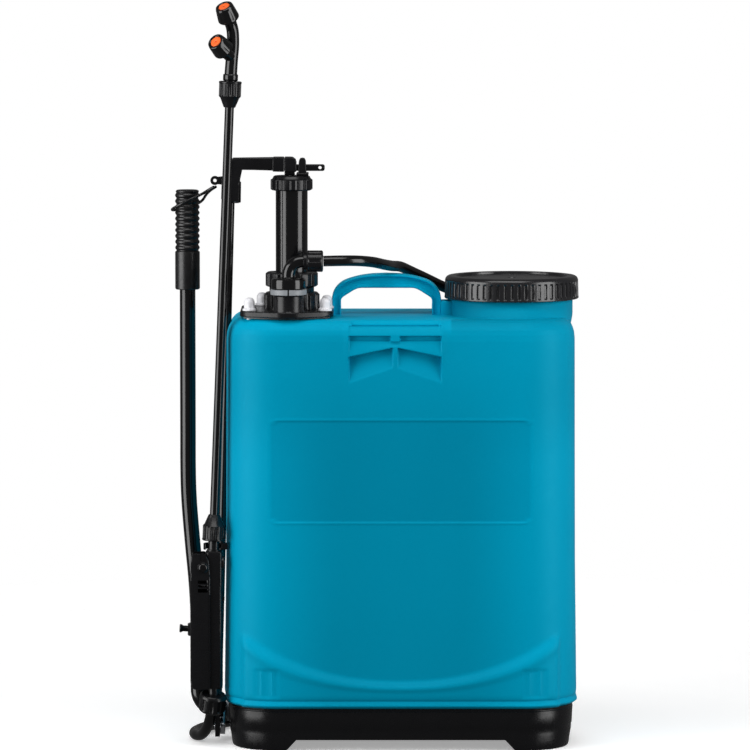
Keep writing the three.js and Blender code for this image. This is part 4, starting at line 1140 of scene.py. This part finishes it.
def make_outlet():
    place = (OUTLET_X, OUTLET_Y, 0)
    profile = [
        (0, 489), (15.6, 489), (15.6, 495.3), (17.7, 495.3), (18.5, 496.2), (18.5, 503.6), (18.1, 505.4),
        (16.9, 506.6), (15.4, 507), (9.8, 507), (9.2, 506.2), (8.4, 506), (0, 506),
    ]
    cuts = [post(OUTLET_X, OUTLET_Y, 0.4885, 0.5046, 9, 40), post(OUTLET_X, OUTLET_Y, 0.5, 0.51, 4, 32)]
    piece("outlet_valve_cap", [spun(profile, place, sides=128)], "root", "black_gloss", cuts)
    ring_profile = [(16.5, 489.1), (18.8, 489.1), (19.4, 489.7), (19.4, 494.4), (18.8, 495), (16.5, 495)]
    split = box(around(OUTLET_X, 0.8), (OUTLET_Y - 25 * MM, OUTLET_Y), (0.48, 0.5), 0)
    clip = spun(ring_profile, place, sides=128, ring=True)
    piece("outlet_clip_ring", [clip], "root", "grey_plastic", [split])
    x, y, top = OUTLET_X, OUTLET_Y, 507.3 * MM
    level = 525 * MM
    bend = 15 * MM
    path = [(x, y, top), (x, y, level - bend - 1 * MM)]
    for a in np.linspace(0, math.pi / 2, 14):
        path.append((x + bend * (1 - math.cos(a)), y, level - bend + bend * math.sin(a)))
    path += [(-80 * MM, y, level), (-78.6 * MM, y, level), (-78.4 * MM, y, level), (-64 * MM, y, level)]
    radii = [7.6 * MM] + [6.75 * MM] * 17 + [6.6 * MM] * 2
    piece("outlet_elbow", [tube(path, 6.75 * MM, 40, radii)], "root", "black_gloss")
    ribs = knurled(8, 0.8 * MM, 11.7 * MM, 0.62, 5.5 * MM, 19 * MM)
    profile = [
        (7.1, 0), (8.7, 0), (9.2, 0.5), (9.3, 3.4), (10.9, 4.2), (11.7, 5), (11.7, 6.2), (11.7, 18),
        (11.7, 19.4), (10.8, 20.6), (9.4, 21), (6.1, 21), (6.1, 15), (7.1, 15),
    ]
    nut = spun(profile, (-78 * MM, OUTLET_Y, level), (1, 0, 0), 192, ring=True, swell=ribs)
    piece("hose_nut_top", [nut], "root", "black_plastic")


# ---------------------------------------------------------------- lever

def make_lever():
    y = LEVER_Y
    low_x, turn = -194.4 * MM, 22 * MM
    bend = [
        (LEVER_X, 0.33), (LEVER_X, 0.295), (LEVER_X + 0.8 * MM, 0.262), (LEVER_X + 4.6 * MM, 0.212),
        (low_x - 2.0 * MM, 0.168), (low_x - 0.2 * MM, 0.134), (low_x, 0.1), (low_x, 0.08),
    ]
    path = [(LEVER_X, y, 592 * MM), (LEVER_X, y, 0.45)]
    path += [tuple(p) for p in catmull([(x, y, z) for x, z in bend], 10)]
    for a in np.linspace(0, math.pi / 2, 20):
        path.append((low_x + turn * (1 - math.cos(a)), y, 0.05 - turn * math.sin(a)))
    path += [(-0.12, y, SHAFT_Z), (-50 * MM, y, SHAFT_Z)]
    piece("lever_tube", [tube(path, 8.5 * MM, 40)], "lever", "black_steel")
    rings, pitch = 10, 6.3 * MM
    rib = [(0.0, 11.9), (0.12, 12.0), (0.3, 12.9), (0.45, 13.3), (0.6, 13.3), (0.78, 12.8), (0.92, 12.0)]
    profile = scaled([(8.8, 488), (12.4, 488), (13.2, 488.8), (13.4, 490), (13.4, 528), (13.1, 529.2)])
    for k in range(rings):
        start = 530 * MM + k * pitch
        profile += [(out * MM, start + share * pitch) for share, out in rib]
    profile += scaled([
        (12.3, 593.4), (12.6, 594), (12.3, 595.2), (10.8, 596), (0, 596), (0, 592.5), (8.8, 592.5),
    ])
    grip = turned(profile, (LEVER_X, y, 0), sides=96, ring=True)
    piece("lever_grip", [grip], "lever", "rubber")
    collar = spun(
        [(8.9, 109.5), (11.2, 109.5), (11.6, 110.4), (11.6, 121.6), (11.2, 122.5), (8.9, 122.5)],
        (low_x, y, 0), sides=64, ring=True,
    )
    peg = spun(
        [(0, 10.5), (3.2, 10.5), (3.3, 16.4), (4.3, 18.2), (4.6, 19.6), (4.2, 20.4), (0, 20.6)],
        (low_x, y, 116 * MM), Vector((-1, 0, 0.06)).normalized(), 40,
    )
    piece("lever_hook", [collar, peg], "lever", "black_plastic")


def refined(node, rides, slot, rounding):
    """The CAD shape of a plain working piece with its facets cleaned and its edges rounded."""
    source = bpy.data.objects[node]
    bm = bmesh.new()
    bm.from_mesh(source.data)
    bm.transform(source.matrix_world)
    bmesh.ops.remove_doubles(bm, verts=bm.verts, dist=2e-6)
    bmesh.ops.dissolve_limit(bm, angle_limit=math.radians(0.6), verts=bm.verts, edges=bm.edges)
    sharp = [e for e in bm.edges if e.calc_face_angle(0) > math.radians(35)]
    bmesh.ops.bevel(
        bm, geom=sharp, offset=rounding, segments=3, affect="EDGES", profile=0.5, clamp_overlap=True
    )
    made = mesh_object(node + "_shape", bm)
    return finished(made, rides, slot, [node], angle=38)


def rod_x(z):
    """Where the leaning pull rod's middle stands at a height."""
    low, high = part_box("pull_rod")
    across = high[0] - low[0] - 2 * PULL_ROD_RADIUS
    return low[0] + PULL_ROD_RADIUS + across * (z - low[2]) / (high[2] - low[2])


def make_crosshead():
    y = PUMP_Y
    beam = [
        (-155, 620.4), (-133, 620.2), (-112, 619.6), (-99.2, 619.4), (-99.2, 633.6), (-112, 633.6),
        (-155, 633),
    ]
    beam = slab(beam, y, 8, 1.2, 0, 3)
    head = [(-111.5, 618.6), (-99.2, 618.3), (-99.2, 634), (-110.8, 634), (-111.5, 633)]
    head = slab(head, y, 10, 0.9, 0, 3)
    gusset = [
        (-161, 586), (-148.3, 586), (-147.5, 606), (-144.3, 621), (-144.3, 632), (-156, 632), (-163, 612),
    ]
    gusset = prism(scaled(gusset), y - 8 * MM, ROD_Y + 7 * MM, "y", 1.2 * MM, 2 * MM, 3)
    socket = spun(
        [(0, 0), (9.0, 0), (9.6, 0.8), (9.6, 31), (8.4, 33), (0, 33)],
        (rod_x(0.584), ROD_Y, 0.584), Vector((rod_x(0.617) - rod_x(0.584), 0, 0.033)).normalized(), 64,
    )
    wing = slab(
        [(-167.4, 588), (-160, 584.6), (-146.2, 584.2), (-145.8, 606.4), (-153, 609.6), (-166.6, 610.2)],
        ROD_Y, 3, 0.7, 0.8,
    )
    lug_x, lug_z = -174 * MM, 608 * MM
    lug = spun(
        [(0, -2.6), (4.4, -2.6), (4.9, -2.1), (4.9, 2.1), (4.4, 2.6), (0, 2.6)],
        (lug_x, ROD_Y, lug_z), (0, 1, 0), 48,
    )
    neck_piece = slab([(-173, 604.2), (-160, 603), (-160, 613), (-173, 611.8)], ROD_Y, 2.6, 0.6)
    cuts = [
        rod((rod_x(0.58), ROD_Y, 0.58), (rod_x(0.6125), ROD_Y, 0.6125), 4.55 * MM, 40),
        pin(lug_x, ROD_Y, lug_z, 4, 1.9),
    ]
    bodies = [beam, head, gusset, socket, wing, lug, neck_piece]
    piece("cross_arm", bodies, "crosshead", "black_plastic", cuts)
    half = slab(
        [(-98.9, 618.3), (-86, 618.3), (-86, 628.6), (-87, 631.6), (-90, 633.8), (-92.5, 634), (-98.9, 634)],
        y, 10, 0.9, 0, 3,
    )
    tail = [(-88, 619), (-57, 619), (-55.6, 620.4), (-55.6, 624.6), (-57, 626), (-88, 626)]
    tail = slab(tail, y, 4, 0.8, 0, 3)
    collar = post(-94.6 * MM, y, 614.4 * MM, 619.5 * MM, 4.3, 32)
    step = box(span(-98.6, -88), around(y, 6), span(614.4, 619), 0.8 * MM, 3)
    cuts = [
        post(PUMP_X, y, 0.61, 0.6315, 3.8, 32),
        pin(-60.7 * MM, y, 622.5 * MM, 5, 1.8),
    ]
    piece("rod_head", [half, tail, collar, step], "crosshead", "black_plastic", cuts)
    rod_path = (rod_x(29.6 * MM), ROD_Y, 29.6 * MM), (rod_x(0.612), ROD_Y, 0.612)
    piece("pull_rod", [rod(*rod_path, PULL_ROD_RADIUS, 40)], "crosshead", "black_steel")
    refined("rod_foot", "crosshead", "black_plastic", 0.0006)
    refined("crank_arm", "lever", "steel", 0.0005)


make_plate()
make_screws()
make_pump()
make_outlet()
make_lever()
make_crosshead()

# ---------------------------------------------------------------- lance and nozzles

LANCE_FOOT = Vector(centre("lance_nut_lower"))
LANCE_TOP = Vector(centre("lance_nut_upper"))
LANCE_FOOT.z, LANCE_TOP.z = 0.232, 0.708
LANCE_FOOT.x, LANCE_TOP.x = -0.1749, -0.1562
LANCE_WAY = (LANCE_TOP - LANCE_FOOT).normalized()
LANCE_LENGTH = (LANCE_TOP - LANCE_FOOT).length
LANCE_SIDE = Vector((0, 1, 0)).cross(LANCE_WAY).normalized()


def on_lance(x, y, z):
    """A place given across, behind and up the leaning lance."""
    return LANCE_FOOT + LANCE_SIDE * x + Vector((0, y, 0)) + LANCE_WAY * z


def lance_way(x, y, z):
    return (LANCE_SIDE * x + Vector((0, y, 0)) + LANCE_WAY * z).normalized()


def make_lance():
    tube_line = [on_lance(0, 0, z) for z in (3 * MM, 0.1, 0.3, LANCE_LENGTH - 3 * MM)]
    piece("lance_tube", [tube(tube_line, 4.85 * MM, 36)], "root", "black_steel")
    profile = [
        (7.1, -8.5), (11.3, -8.5), (12.2, -7.8), (12.2, -6.6), (11.9, -6), (11.9, 6.2), (11.9, 7.4),
        (11.2, 8.4), (10.2, 9.4), (6.6, 18.4), (6.0, 19.5), (4.95, 19.5), (4.95, 1.4), (7.1, 1.4),
    ]
    ribs = knurled(16, 0.75 * MM, 11.9 * MM, 0.52, -6.5 * MM, 7 * MM)
    top = on_lance(0, 0, LANCE_LENGTH)
    for name, at, way in (("lower", LANCE_FOOT, LANCE_WAY), ("upper", top, -LANCE_WAY)):
        nut = spun(profile, at, way, 256, ring=True, swell=ribs)
        piece(f"lance_nut_{name}", [nut], "root", "black_plastic")


NOZZLES = {
    "upper": {"foot": (1.6, 0, 62), "along": (-0.34, -0.48, 0.81), "reach": 15},
    "lower": {"foot": (0.5, 0, 33), "along": (-0.52, -0.66, 0.54), "reach": 15.5},
}


def nozzle_place(nozzle, further=0.0):
    x, y, z = nozzle["foot"]
    way = lance_way(*nozzle["along"])
    return on_lance(x * MM, y * MM, LANCE_LENGTH + z * MM) + way * (nozzle["reach"] * MM + further), way


def radii_along(line, shares, radii):
    return list(np.interp(np.linspace(0, 1, len(line)), shares, radii))


def make_nozzles():
    bottom = LANCE_LENGTH - 0.8 * MM
    spigot = rod(on_lance(0, 0, bottom), on_lance(0, 0, LANCE_LENGTH + 10 * MM), 6.6 * MM, 48)
    collar = spun(
        [(0, 0), (7.4, 0), (8, 0.6), (8, 6.2), (7.4, 7), (0, 7)],
        on_lance(0, 0, LANCE_LENGTH + 9 * MM), LANCE_WAY, 64,
    )
    upper_end, upper_way = nozzle_place(NOZZLES["upper"], -0.3 * MM)
    foot = on_lance(1.6 * MM, 0, LANCE_LENGTH + 62 * MM)
    line = catmull([
        on_lance(0, 0, LANCE_LENGTH + 12 * MM), on_lance(0.6 * MM, 0, LANCE_LENGTH + 30 * MM),
        on_lance(1.4 * MM, -0.2 * MM, LANCE_LENGTH + 48 * MM),
        foot + upper_way * 4 * MM - LANCE_WAY * 2 * MM, upper_end - upper_way * 4 * MM, upper_end,
    ], 8)
    radii = radii_along(line, [0, 0.25, 0.75, 1], [6.8 * MM, 6.6 * MM, 6.5 * MM, 6.9 * MM])
    lower_end, lower_way = nozzle_place(NOZZLES["lower"], -0.3 * MM)
    lower_foot = on_lance(0.5 * MM, 0, LANCE_LENGTH + 33 * MM)
    branch = [lower_foot - LANCE_WAY * 9 * MM, lower_foot, lower_foot + lower_way * 7 * MM, lower_end]
    branch_line = catmull(branch, 8)
    branch_radii = radii_along(branch_line, [0, 0.4, 1], [4.6 * MM, 6.2 * MM, 6.6 * MM])
    piece(
        "nozzle_body",
        [spigot, collar, tube(line, 6.6 * MM, 40, radii), tube(branch_line, 6 * MM, 40, branch_radii)],
        "root", "black_gloss", angle=50,
    )
    cap_profile = [
        (3, 0), (9.6, 0), (10.6, 0.4), (11.4, 1.3), (11.6, 2.4), (11.4, 4.2), (10.9, 8), (9.9, 15),
        (9.5, 16.6), (9.2, 17.5), (8.5, 18), (7.0, 18), (6.5, 17.6), (6.4, 15), (3, 15),
    ]
    tip_profile = [
        (0.8, 15.3), (6, 15.3), (6, 17.1), (5.6, 17.7), (4.9, 17.9), (3.2, 17.7), (1.6, 17.5), (1.0, 17.2),
        (0.8, 16.8),
    ]
    for name, nozzle in NOZZLES.items():
        at, way = nozzle_place(nozzle)
        flutes = knurled(12, 0.35 * MM, 11 * MM, 0.6, 3 * MM, 14 * MM)
        cap = spun(cap_profile, at, way, 144, ring=True, swell=flutes)
        tip = spun(tip_profile, at, way, 96, ring=True)
        piece(f"nozzle_cap_{name}", [cap], f"{name}_nozzle", "black_gloss")
        piece(f"nozzle_tip_{name}", [tip], f"{name}_nozzle", "orange_plastic")


# ---------------------------------------------------------------- spray handle

SPRAY_X = -173.75 * MM
TRIGGER_X, TRIGGER_Z = -186.2 * MM, 195.2 * MM
NUT_PLACE = Vector((-175.2 * MM, HANDLE_Y - 3 * MM, 59.2 * MM))
NUT_WAY = Vector((-0.12, 0.27, -0.95)).normalized()


def make_spray_handle():
    y = HANDLE_Y
    # the grip is a rounded bar that narrows a little towards its foot
    levels, thirds = [], np.linspace(0, 1, 4)
    for z, half_x, half_y in (
        (63, 7.0, 6.6), (63.8, 7.9, 7.6), (65, 8.2, 8), (100, 8.25, 8), (150, 8.25, 8), (166, 8.25, 8.2),
        (171, 8.8, 8.9), (176, 9.4, 9), (205, 9.5, 9), (210.6, 9.4, 8.9), (212, 8.8, 8.2), (212.5, 7.6, 7),
    ):
        outline, _ = rounded_outline(half_x * MM, half_y * MM, 4.2 * MM, (thirds, thirds, 6))
        shift = 0 if z < 170 else -0.75
        levels.append([(SPRAY_X + shift * MM + u, y + v, z * MM) for u, v in outline])
    bar = loft(levels)
    spine = slab(
        [(-167, 66), (-165.4, 70), (-165.2, 168), (-167, 172)], y, 2.2, 0.7, 0, 2,
    )
    plug = spun(
        [(0, 0), (8.6, 0), (8.6, 1.6), (8.1, 2.6), (6.6, 3.2), (0, 3.2)],
        (-166 * MM, y, 199 * MM), (1, 0, 0), 64,
    )
    spigot = spun(
        [(0, -1), (7.6, -1), (7.6, 1.2), (6.2, 1.6), (6.1, 14.4), (5.6, 15.5), (0, 15.5)],
        (-174.9 * MM, y, 212.5 * MM), (0.4 / 15.5, 0, 1), 48,
    )
    lug = arc((TRIGGER_X, TRIGGER_Z), 6.4 * MM, 90, 270, 18) + scaled([(-178, 187.2), (-178, 203.2)])
    lug = prism(lug, *around(y, 9), "y", 0.6 * MM)
    hook = slab([(-167, 157.6), (-163.4, 158.2), (-163.2, 162.6), (-167, 163.6)], y, 2, 0.5)
    root_line = [Vector((-175 * MM, y - 2 * MM, 68 * MM)), NUT_PLACE, NUT_PLACE + NUT_WAY * 13 * MM]
    outlet_spigot = tube(root_line, 5.6 * MM, 40)
    cuts = [
        rod((-186 * MM, y, 175 * MM), (-169.5 * MM, y, 175 * MM), 5.2 * MM, 32, 0),
        pin(TRIGGER_X, y, TRIGGER_Z, 12, 2.6),
    ]
    bodies = [bar, spine, plug, spigot, lug, hook, outlet_spigot]
    piece("handle_body", bodies, "root", "black_plastic", cuts)
    ribs = knurled(10, 1.1 * MM, 14.5 * MM, 0.6, 5.2 * MM, 18.5 * MM)
    profile = [
        (6.1, 1.5), (12.2, 1.5), (12.8, 2), (14.1, 3.6), (14.5, 4.6), (14.5, 6), (14.5, 17.6),
        (14.5, 19), (13.8, 20.4), (12.6, 21.5), (6.2, 21.5), (6.2, 14), (6.1, 13.9),
    ]
    nut = spun(profile, NUT_PLACE, NUT_WAY, 240, ring=True, swell=ribs)
    piece("hose_nut_bottom", [nut], "root", "black_plastic")


def make_trigger():
    """A pressed channel: a flared head with a screw boss and a window, and a long plain grip."""
    y, left, right = HANDLE_Y, -200 * MM, -178.4 * MM
    outline = scaled([
        (-196.4, 63), (-178.4, 63), (-178.4, 110), (-178.4, 186), (-179.9, 203), (-184.4, 211),
        (-191, 210.2), (-196, 210.8), (-198.6, 209), (-199.4, 200), (-199.5, 190), (-200, 182), (-200, 70),
    ])
    shell = prism(outline, y - 12 * MM, y + 12 * MM, "y", 1.3 * MM, 2.6 * MM, 3)
    hollow = box((left + 2.6 * MM, right + 5 * MM), around(y, 9.9), span(62, 212), 0.5 * MM)
    window = box(span(-191.7, -180.9), (y - 13 * MM, y - 9 * MM), span(168.4, 181.6), 0)
    boss = spun(
        [(2.7, 0), (5.8, 0), (5.8, 1.6), (5.2, 2.2), (4.9, 2.2), (4.9, 1.4), (2.7, 1.4)],
        (TRIGGER_X, y - 11.4 * MM, TRIGGER_Z), (0, -1, 0), 56, ring=True,
    )
    pivot = pin(TRIGGER_X, y, TRIGGER_Z, 14, 2.6)
    groove = box(span(-189.4, -183.0), (y - 13 * MM, y - 11.1 * MM), span(202.5, 213), 0)
    channel = box(span(-180.6, -177), (y - 13 * MM, y - 11.4 * MM), span(60, 166), 0)
    bars = [
        box(span(-191.8, -180.8), (y - 11.8 * MM, y - 10 * MM), (z * MM, (z + 1.6) * MM), 0.4 * MM)
        for z in (172.4, 176.4)
    ]
    body = joined([shell], [hollow, window, groove, channel])
    piece("trigger", [body, boss, *bars], "spray_trigger", "black_plastic", [pivot])
    head = [(0, 0), (3.2, 0), (4.2, 0.5), (4.6, 1.1), (4.6, 1.9), (2.2, 1.9), (2.2, 27.6), (0, 27.6)]
    slots = [
        prism([(TRIGGER_X + u * math.cos(a) - v * math.sin(a), TRIGGER_Z + u * math.sin(a) + v * math.cos(a))
               for u, v in (span(-3.6, -0.45), span(3.6, -0.45), span(3.6, 0.45), span(-3.6, 0.45))],
              y - 15 * MM, y - 13.5 * MM, "y", 0)
        for a in (math.radians(52), math.radians(142))
    ]
    screw = spun(head, (TRIGGER_X, y - 14.3 * MM, TRIGGER_Z), (0, 1, 0), 48)
    piece("trigger_screw", [screw], "root", "black_steel", slots)


def make_clip():
    """A springy jaw that wraps the lance's foot from behind, and its arm."""
    low, high = 213.8 * MM, 220.6 * MM
    x, y = -175.2 * MM, HANDLE_Y
    outer = arc((x, y), 10.8 * MM, 8, 205, 32)
    inner = arc((x, y), 8.6 * MM, 205, 8, 32)
    jaw = prism(outer + inner, low, high, "z", 0.5 * MM, 0, 2)
    arm = box(span(-166.5, -159.8), (y - 2 * MM, y + 7 * MM), (low, high), 0.7 * MM)
    piece("lance_clip", [jaw, arm], "root", "black_plastic")


make_lance()
make_nozzles()
make_spray_handle()
make_trigger()
make_clip()

# ---------------------------------------------------------------- harness

STRAP_OUT = 153 * MM
WEB_THICK = 2.2 * MM
STRAP_HALF = 22 * MM
BAR_REACH = 103 * MM
WRAP = 4.95 * MM
PAD_HALF, PAD_LONG, PAD_THICK = 28 * MM, 61 * MM, 9.6 * MM
PAD_DEPTH = 10.9 * MM
STITCH_PITCH = 3.4 * MM
PAD_MIDDLE = 313 * MM


def strap_points(inset):
    """A line inside the strap's outer face: (depth behind the tank's mid-plane, height) pairs."""
    points = [(-28, 409), (-9, 372), (0, 318), (0, 262), (-6, 200), (-19, 132), (-33, 76)]
    return scaled(points, STRAP_OUT - inset)


def strap_curve(inset):
    """The strap's line carried on past both ends, to measure from."""
    end = 111.4 * MM - inset
    line = [(end, 433 * MM), *strap_points(inset), (end, 32 * MM)]
    return catmull([(0, MID + y, z) for y, z in line], 12)


def wrap_round(z, start, end):
    """The webbing's turn round a bar, by angle from straight back."""
    return [
        (0, MID + BAR_REACH + WRAP * math.cos(a), z + WRAP * math.sin(a))
        for a in np.radians(np.linspace(start, end, 16))
    ]


def lying_on(line, at, lift, across=0.0):
    """A place at a height on a strap's line, lifted off it along its outward normal."""
    heights, depths = line[::-1, 2], line[::-1, 1]
    y = np.interp(at, heights, depths)
    slope = (np.interp(at + MM, heights, depths) - np.interp(at - MM, heights, depths)) / (2 * MM)
    size = math.hypot(1, slope)
    return (across, y + lift / size, at - lift * slope / size)


def strap_spread(z):
    """How far a strap's middle stands from the tank's: the straps part as they go down."""
    return STRAP_SPREAD + (HOLDER_TOP - z) * STRAP_SPLAY / (HOLDER_TOP - HOLDER_LOW)


def lean_out(bm, side):
    """Moves an upright strap to its side. It stays square to its bars."""
    for vert in bm.verts:
        vert.co.x += TANK_X + side * strap_spread(vert.co.z)
    return bm


def gathered(bodies):
    """Separate bodies kept in one mesh."""
    whole = bmesh.new()
    for bm in bodies:
        mesh = bpy.data.meshes.new("part")
        bm.to_mesh(mesh)
        bm.free()
        whole.from_mesh(mesh)
        bpy.data.meshes.remove(mesh)
    return whole


def stitch_row(place, start, end):
    """Thread stitches from one (across, height) to another, half sunk in the face."""
    start, end = np.array(start), np.array(end)
    count = max(1, round(float(np.linalg.norm(end - start)) / STITCH_PITCH))
    stitches = []
    for k in range(count):
        low = start + (end - start) * (k + 0.14) / count
        high = start + (end - start) * (k + 0.86) / count
        stitches.append(rod(place(*low), place(*high), 0.42 * MM, 8, 0.2 * MM))
    return stitches


def box_stitch(place, half, low, high):
    """A stitched box with its two diagonals."""
    corners = [(-half, low), (half, low), (half, high), (-half, high)]
    rows = []
    for a, b in zip(corners, corners[1:] + corners[:1]):
        rows += stitch_row(place, a, b)
    return rows + stitch_row(place, corners[0], corners[2]) + stitch_row(place, corners[1], corners[3])


def web_section():
    """Flat webbing with thicker woven edges."""
    half, thick = STRAP_HALF, WEB_THICK / 2
    upper = [(-half, 0.35 * thick), (-half + 0.6 * MM, 1.05 * thick), (-half + 2.4 * MM, 1.1 * thick)]
    upper += [(-half + 3.2 * MM, 0.86 * thick), (0, 0.9 * thick)]
    upper += [(-a, b) for a, b in reversed(upper[:-1])]
    return upper + [(a, -b) for a, b in reversed(upper)]


def make_strap(name, side):
    outer = strap_curve(2 * MM)
    inner = strap_curve(2 * MM + WEB_THICK + 0.3 * MM)
    main = catmull([(0, MID + y, z) for y, z in strap_points(2 * MM)], 14)
    top_tail = [lying_on(inner, z, 0) for z in (388 * MM, 396 * MM, 404 * MM, 410 * MM)]
    low_tail = [lying_on(inner, z, 0) for z in (68 * MM, 76 * MM, 84 * MM, 92 * MM)]
    path = top_tail + wrap_round(HOLDER_TOP, 236, 36) + list(main)
    path += wrap_round(HOLDER_LOW, -12, -204) + low_tail
    web = lean_out(sections_along(path, [web_section()] * len(path)), side)
    piece(name, [web], "root", "webbing", angle=50)

    def on_face(across, z):
        return lying_on(outer, z, WEB_THICK / 2 + 0.1 * MM, across)

    stitches = []
    for low, high in scaled([(390, 408), (70, 90)]):
        stitches += box_stitch(on_face, 17 * MM, low, high)
    for z in (256 * MM, 259 * MM, 367 * MM, 370 * MM):
        stitches += stitch_row(on_face, (-19 * MM, z), (19 * MM, z))
    thread = mesh_object(f"{name}_stitching_shape", lean_out(gathered(stitches), side))
    finished(thread, "root", "webbing", [])
    thread.data.materials[0] = THREAD


def pad_outline(half, long, corner):
    outline, _ = rounded_outline(half, long, corner, (np.linspace(0, 1, 10), np.linspace(0, 1, 20), 8))
    return [tuple(p) for p in outline]


def swollen(pad, pressure, most):
    """The pad filled with foam: cloth under pressure, with its movement capped."""
    voxels = pad.modifiers.new("voxels", "REMESH")
    voxels.mode = "VOXEL"
    voxels.voxel_size = 4 * MM
    graph = bpy.context.evaluated_depsgraph_get()
    mesh = bpy.data.meshes.new_from_object(pad.evaluated_get(graph))
    pad.modifiers.clear()
    pad.data = mesh
    start = np.empty(len(mesh.vertices) * 3)
    mesh.vertices.foreach_get("co", start)
    cloth = pad.modifiers.new("cloth", "CLOTH")
    cloth.settings.use_pressure = True
    cloth.settings.uniform_pressure_force = pressure
    cloth.settings.effector_weights.gravity = 0
    for step in range(1, 21):
        bpy.context.scene.frame_set(step)
    graph = bpy.context.evaluated_depsgraph_get()
    moved = bpy.data.meshes.new_from_object(pad.evaluated_get(graph))
    pad.modifiers.clear()
    end = np.empty_like(start)
    moved.vertices.foreach_get("co", end)
    step = (end - start).reshape(-1, 3)
    size = np.linalg.norm(step, axis=1, keepdims=True)
    step *= np.minimum(1, most / np.maximum(size, 1e-9))
    mesh.vertices.foreach_set("co", (start.reshape(-1, 3) + step).ravel())
    bpy.context.scene.frame_set(1)


def pad_bend(points, side):
    """From the flat pad, (across, thick, along), to its place inside the strap."""
    line = strap_curve(PAD_DEPTH)
    lengths = np.concatenate([[0], np.cumsum(np.linalg.norm(np.diff(line, axis=0), axis=1))])
    middle = np.interp(-PAD_MIDDLE, -line[:, 2], lengths)
    at = middle - points[:, 2]
    y, z = np.interp(at, lengths, line[:, 1]), np.interp(at, lengths, line[:, 2])
    step_y = np.interp(at + MM, lengths, line[:, 1]) - np.interp(at - MM, lengths, line[:, 1])
    step_z = np.interp(at + MM, lengths, line[:, 2]) - np.interp(at - MM, lengths, line[:, 2])
    size = np.hypot(step_y, step_z)
    y, z = y - points[:, 1] * step_z / size, z + points[:, 1] * step_y / size
    return np.stack([TANK_X + side * strap_spread(z) + points[:, 0], y, z], axis=1)


def bent(made, side, quilted=False):
    """Bends a flat mesh into place, after its sewn channels are pressed in."""
    count = len(made.data.vertices)
    points = np.empty(count * 3)
    made.data.vertices.foreach_get("co", points)
    points = points.reshape(-1, 3)
    if quilted:
        channel = sum(np.exp(-(((points[:, 2] - k * 24 * MM) / (1.7 * MM)) ** 2)) for k in (-2, -1, 0, 1, 2))
        inside = 1 - step_up(np.abs(points[:, 0]), PAD_HALF - 7 * MM, PAD_HALF - 3 * MM)
        points[:, 1] *= 1 - 0.34 * channel * inside
    made.data.vertices.foreach_set("co", pad_bend(points, side).ravel())
    made.data.update()


def make_pad(name, side):
    half = PAD_THICK / 2
    flat = prism(pad_outline(PAD_HALF, PAD_LONG, 15 * MM), -half, half, "y", 2.4 * MM, 0, 3)
    pad = mesh_object(name + "_shape", flat)
    swollen(pad, 4, 2.6 * MM)
    smooth = pad.modifiers.new("smooth", "SUBSURF")
    smooth.levels = 2
    graph = bpy.context.evaluated_depsgraph_get()
    pad.data = bpy.data.meshes.new_from_object(pad.evaluated_get(graph))
    pad.modifiers.clear()
    bent(pad, side, quilted=True)
    finished(pad, "root", "pad_fabric", [name], angle=60)
    edge = [(x, 0, z) for x, z in pad_outline(PAD_HALF + 1.2 * MM, PAD_LONG + 1.2 * MM, 16 * MM)]
    angles = np.linspace(0, 2 * math.pi, 12, endpoint=False)
    verts, rows = [], []
    for k, (x, _, z) in enumerate(edge):
        last, following = edge[k - 1], edge[(k + 1) % len(edge)]
        away = Vector((following[2] - last[2], 0, last[0] - following[0])).normalized()
        rows.append(list(range(len(verts), len(verts) + 12)))
        verts += [
            (x + away.x * 1.5 * MM * math.cos(a), 2.6 * MM * math.sin(a), z + away.z * 1.5 * MM * math.cos(a))
            for a in angles
        ]
    binding = mesh_object(name + "_binding", body_of(verts, grid_faces(rows, ring=True)))
    bent(binding, side)
    finished(binding, "root", "webbing", [], angle=60)


THREAD = moulded("thread", (150, 150, 156), 0.6, grain=0.4)
for side_name, side_sign in (("left", -1), ("right", 1)):
    make_strap(f"strap_{side_name}", side_sign)
    make_pad(f"shoulder_pad_{side_name}", side_sign)

# ---------------------------------------------------------------- inner pieces

EXPOSED = (
    "shaft_bush_left", "shaft_bush_right", "pump_gasket", "suction_strainer",
    "piston_rod", "vent_valve", "strainer_basket", "valve_stem",
)
HIDDEN = (
    "rod_seal", "foot_valve_seat", "foot_valve_ball", "outlet_valve_ball", "piston", "piston_seal",
    "cap_gasket",
)
SLOT_OF = {
    "shaft_bush_left": "grey_plastic", "shaft_bush_right": "grey_plastic", "pump_gasket": "rubber",
    "suction_strainer": "strainer_plastic", "piston_rod": "steel", "vent_valve": "grey_plastic",
    "strainer_basket": "strainer_plastic", "valve_stem": "steel", "rod_seal": "rubber",
    "foot_valve_seat": "black_plastic", "foot_valve_ball": "steel", "outlet_valve_ball": "steel",
    "piston": "grey_plastic", "piston_seal": "rubber", "cap_gasket": "rubber", "valve_spring": "steel",
}


def make_inner():
    for node in EXPOSED:
        refined(node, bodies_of(frame["nodes"][node])[0], SLOT_OF[node], 0.0004)
    for node in HIDDEN:
        for material_slot in frame["nodes"][node].material_slots:
            material_slot.material = MATERIALS[SLOT_OF[node]]


def make_spring():
    """The valve spring, which the stem's collar presses 2 mm shorter."""
    low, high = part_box("valve_spring")
    y, z = centre("valve_spring")[1:]
    wire, radius, turns, steps = 0.45 * MM, 3.55 * MM, 3, 96
    path = [
        (low.x + wire + (high.x - low.x - 2 * wire) * k / steps,
         y + radius * math.cos(2 * math.pi * turns * k / steps),
         z + radius * math.sin(2 * math.pi * turns * k / steps))
        for k in range(steps + 1)
    ]
    spring = piece("valve_spring", [tube(path, wire, 10)], "root", "steel")
    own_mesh(spring)


make_inner()
make_spring()
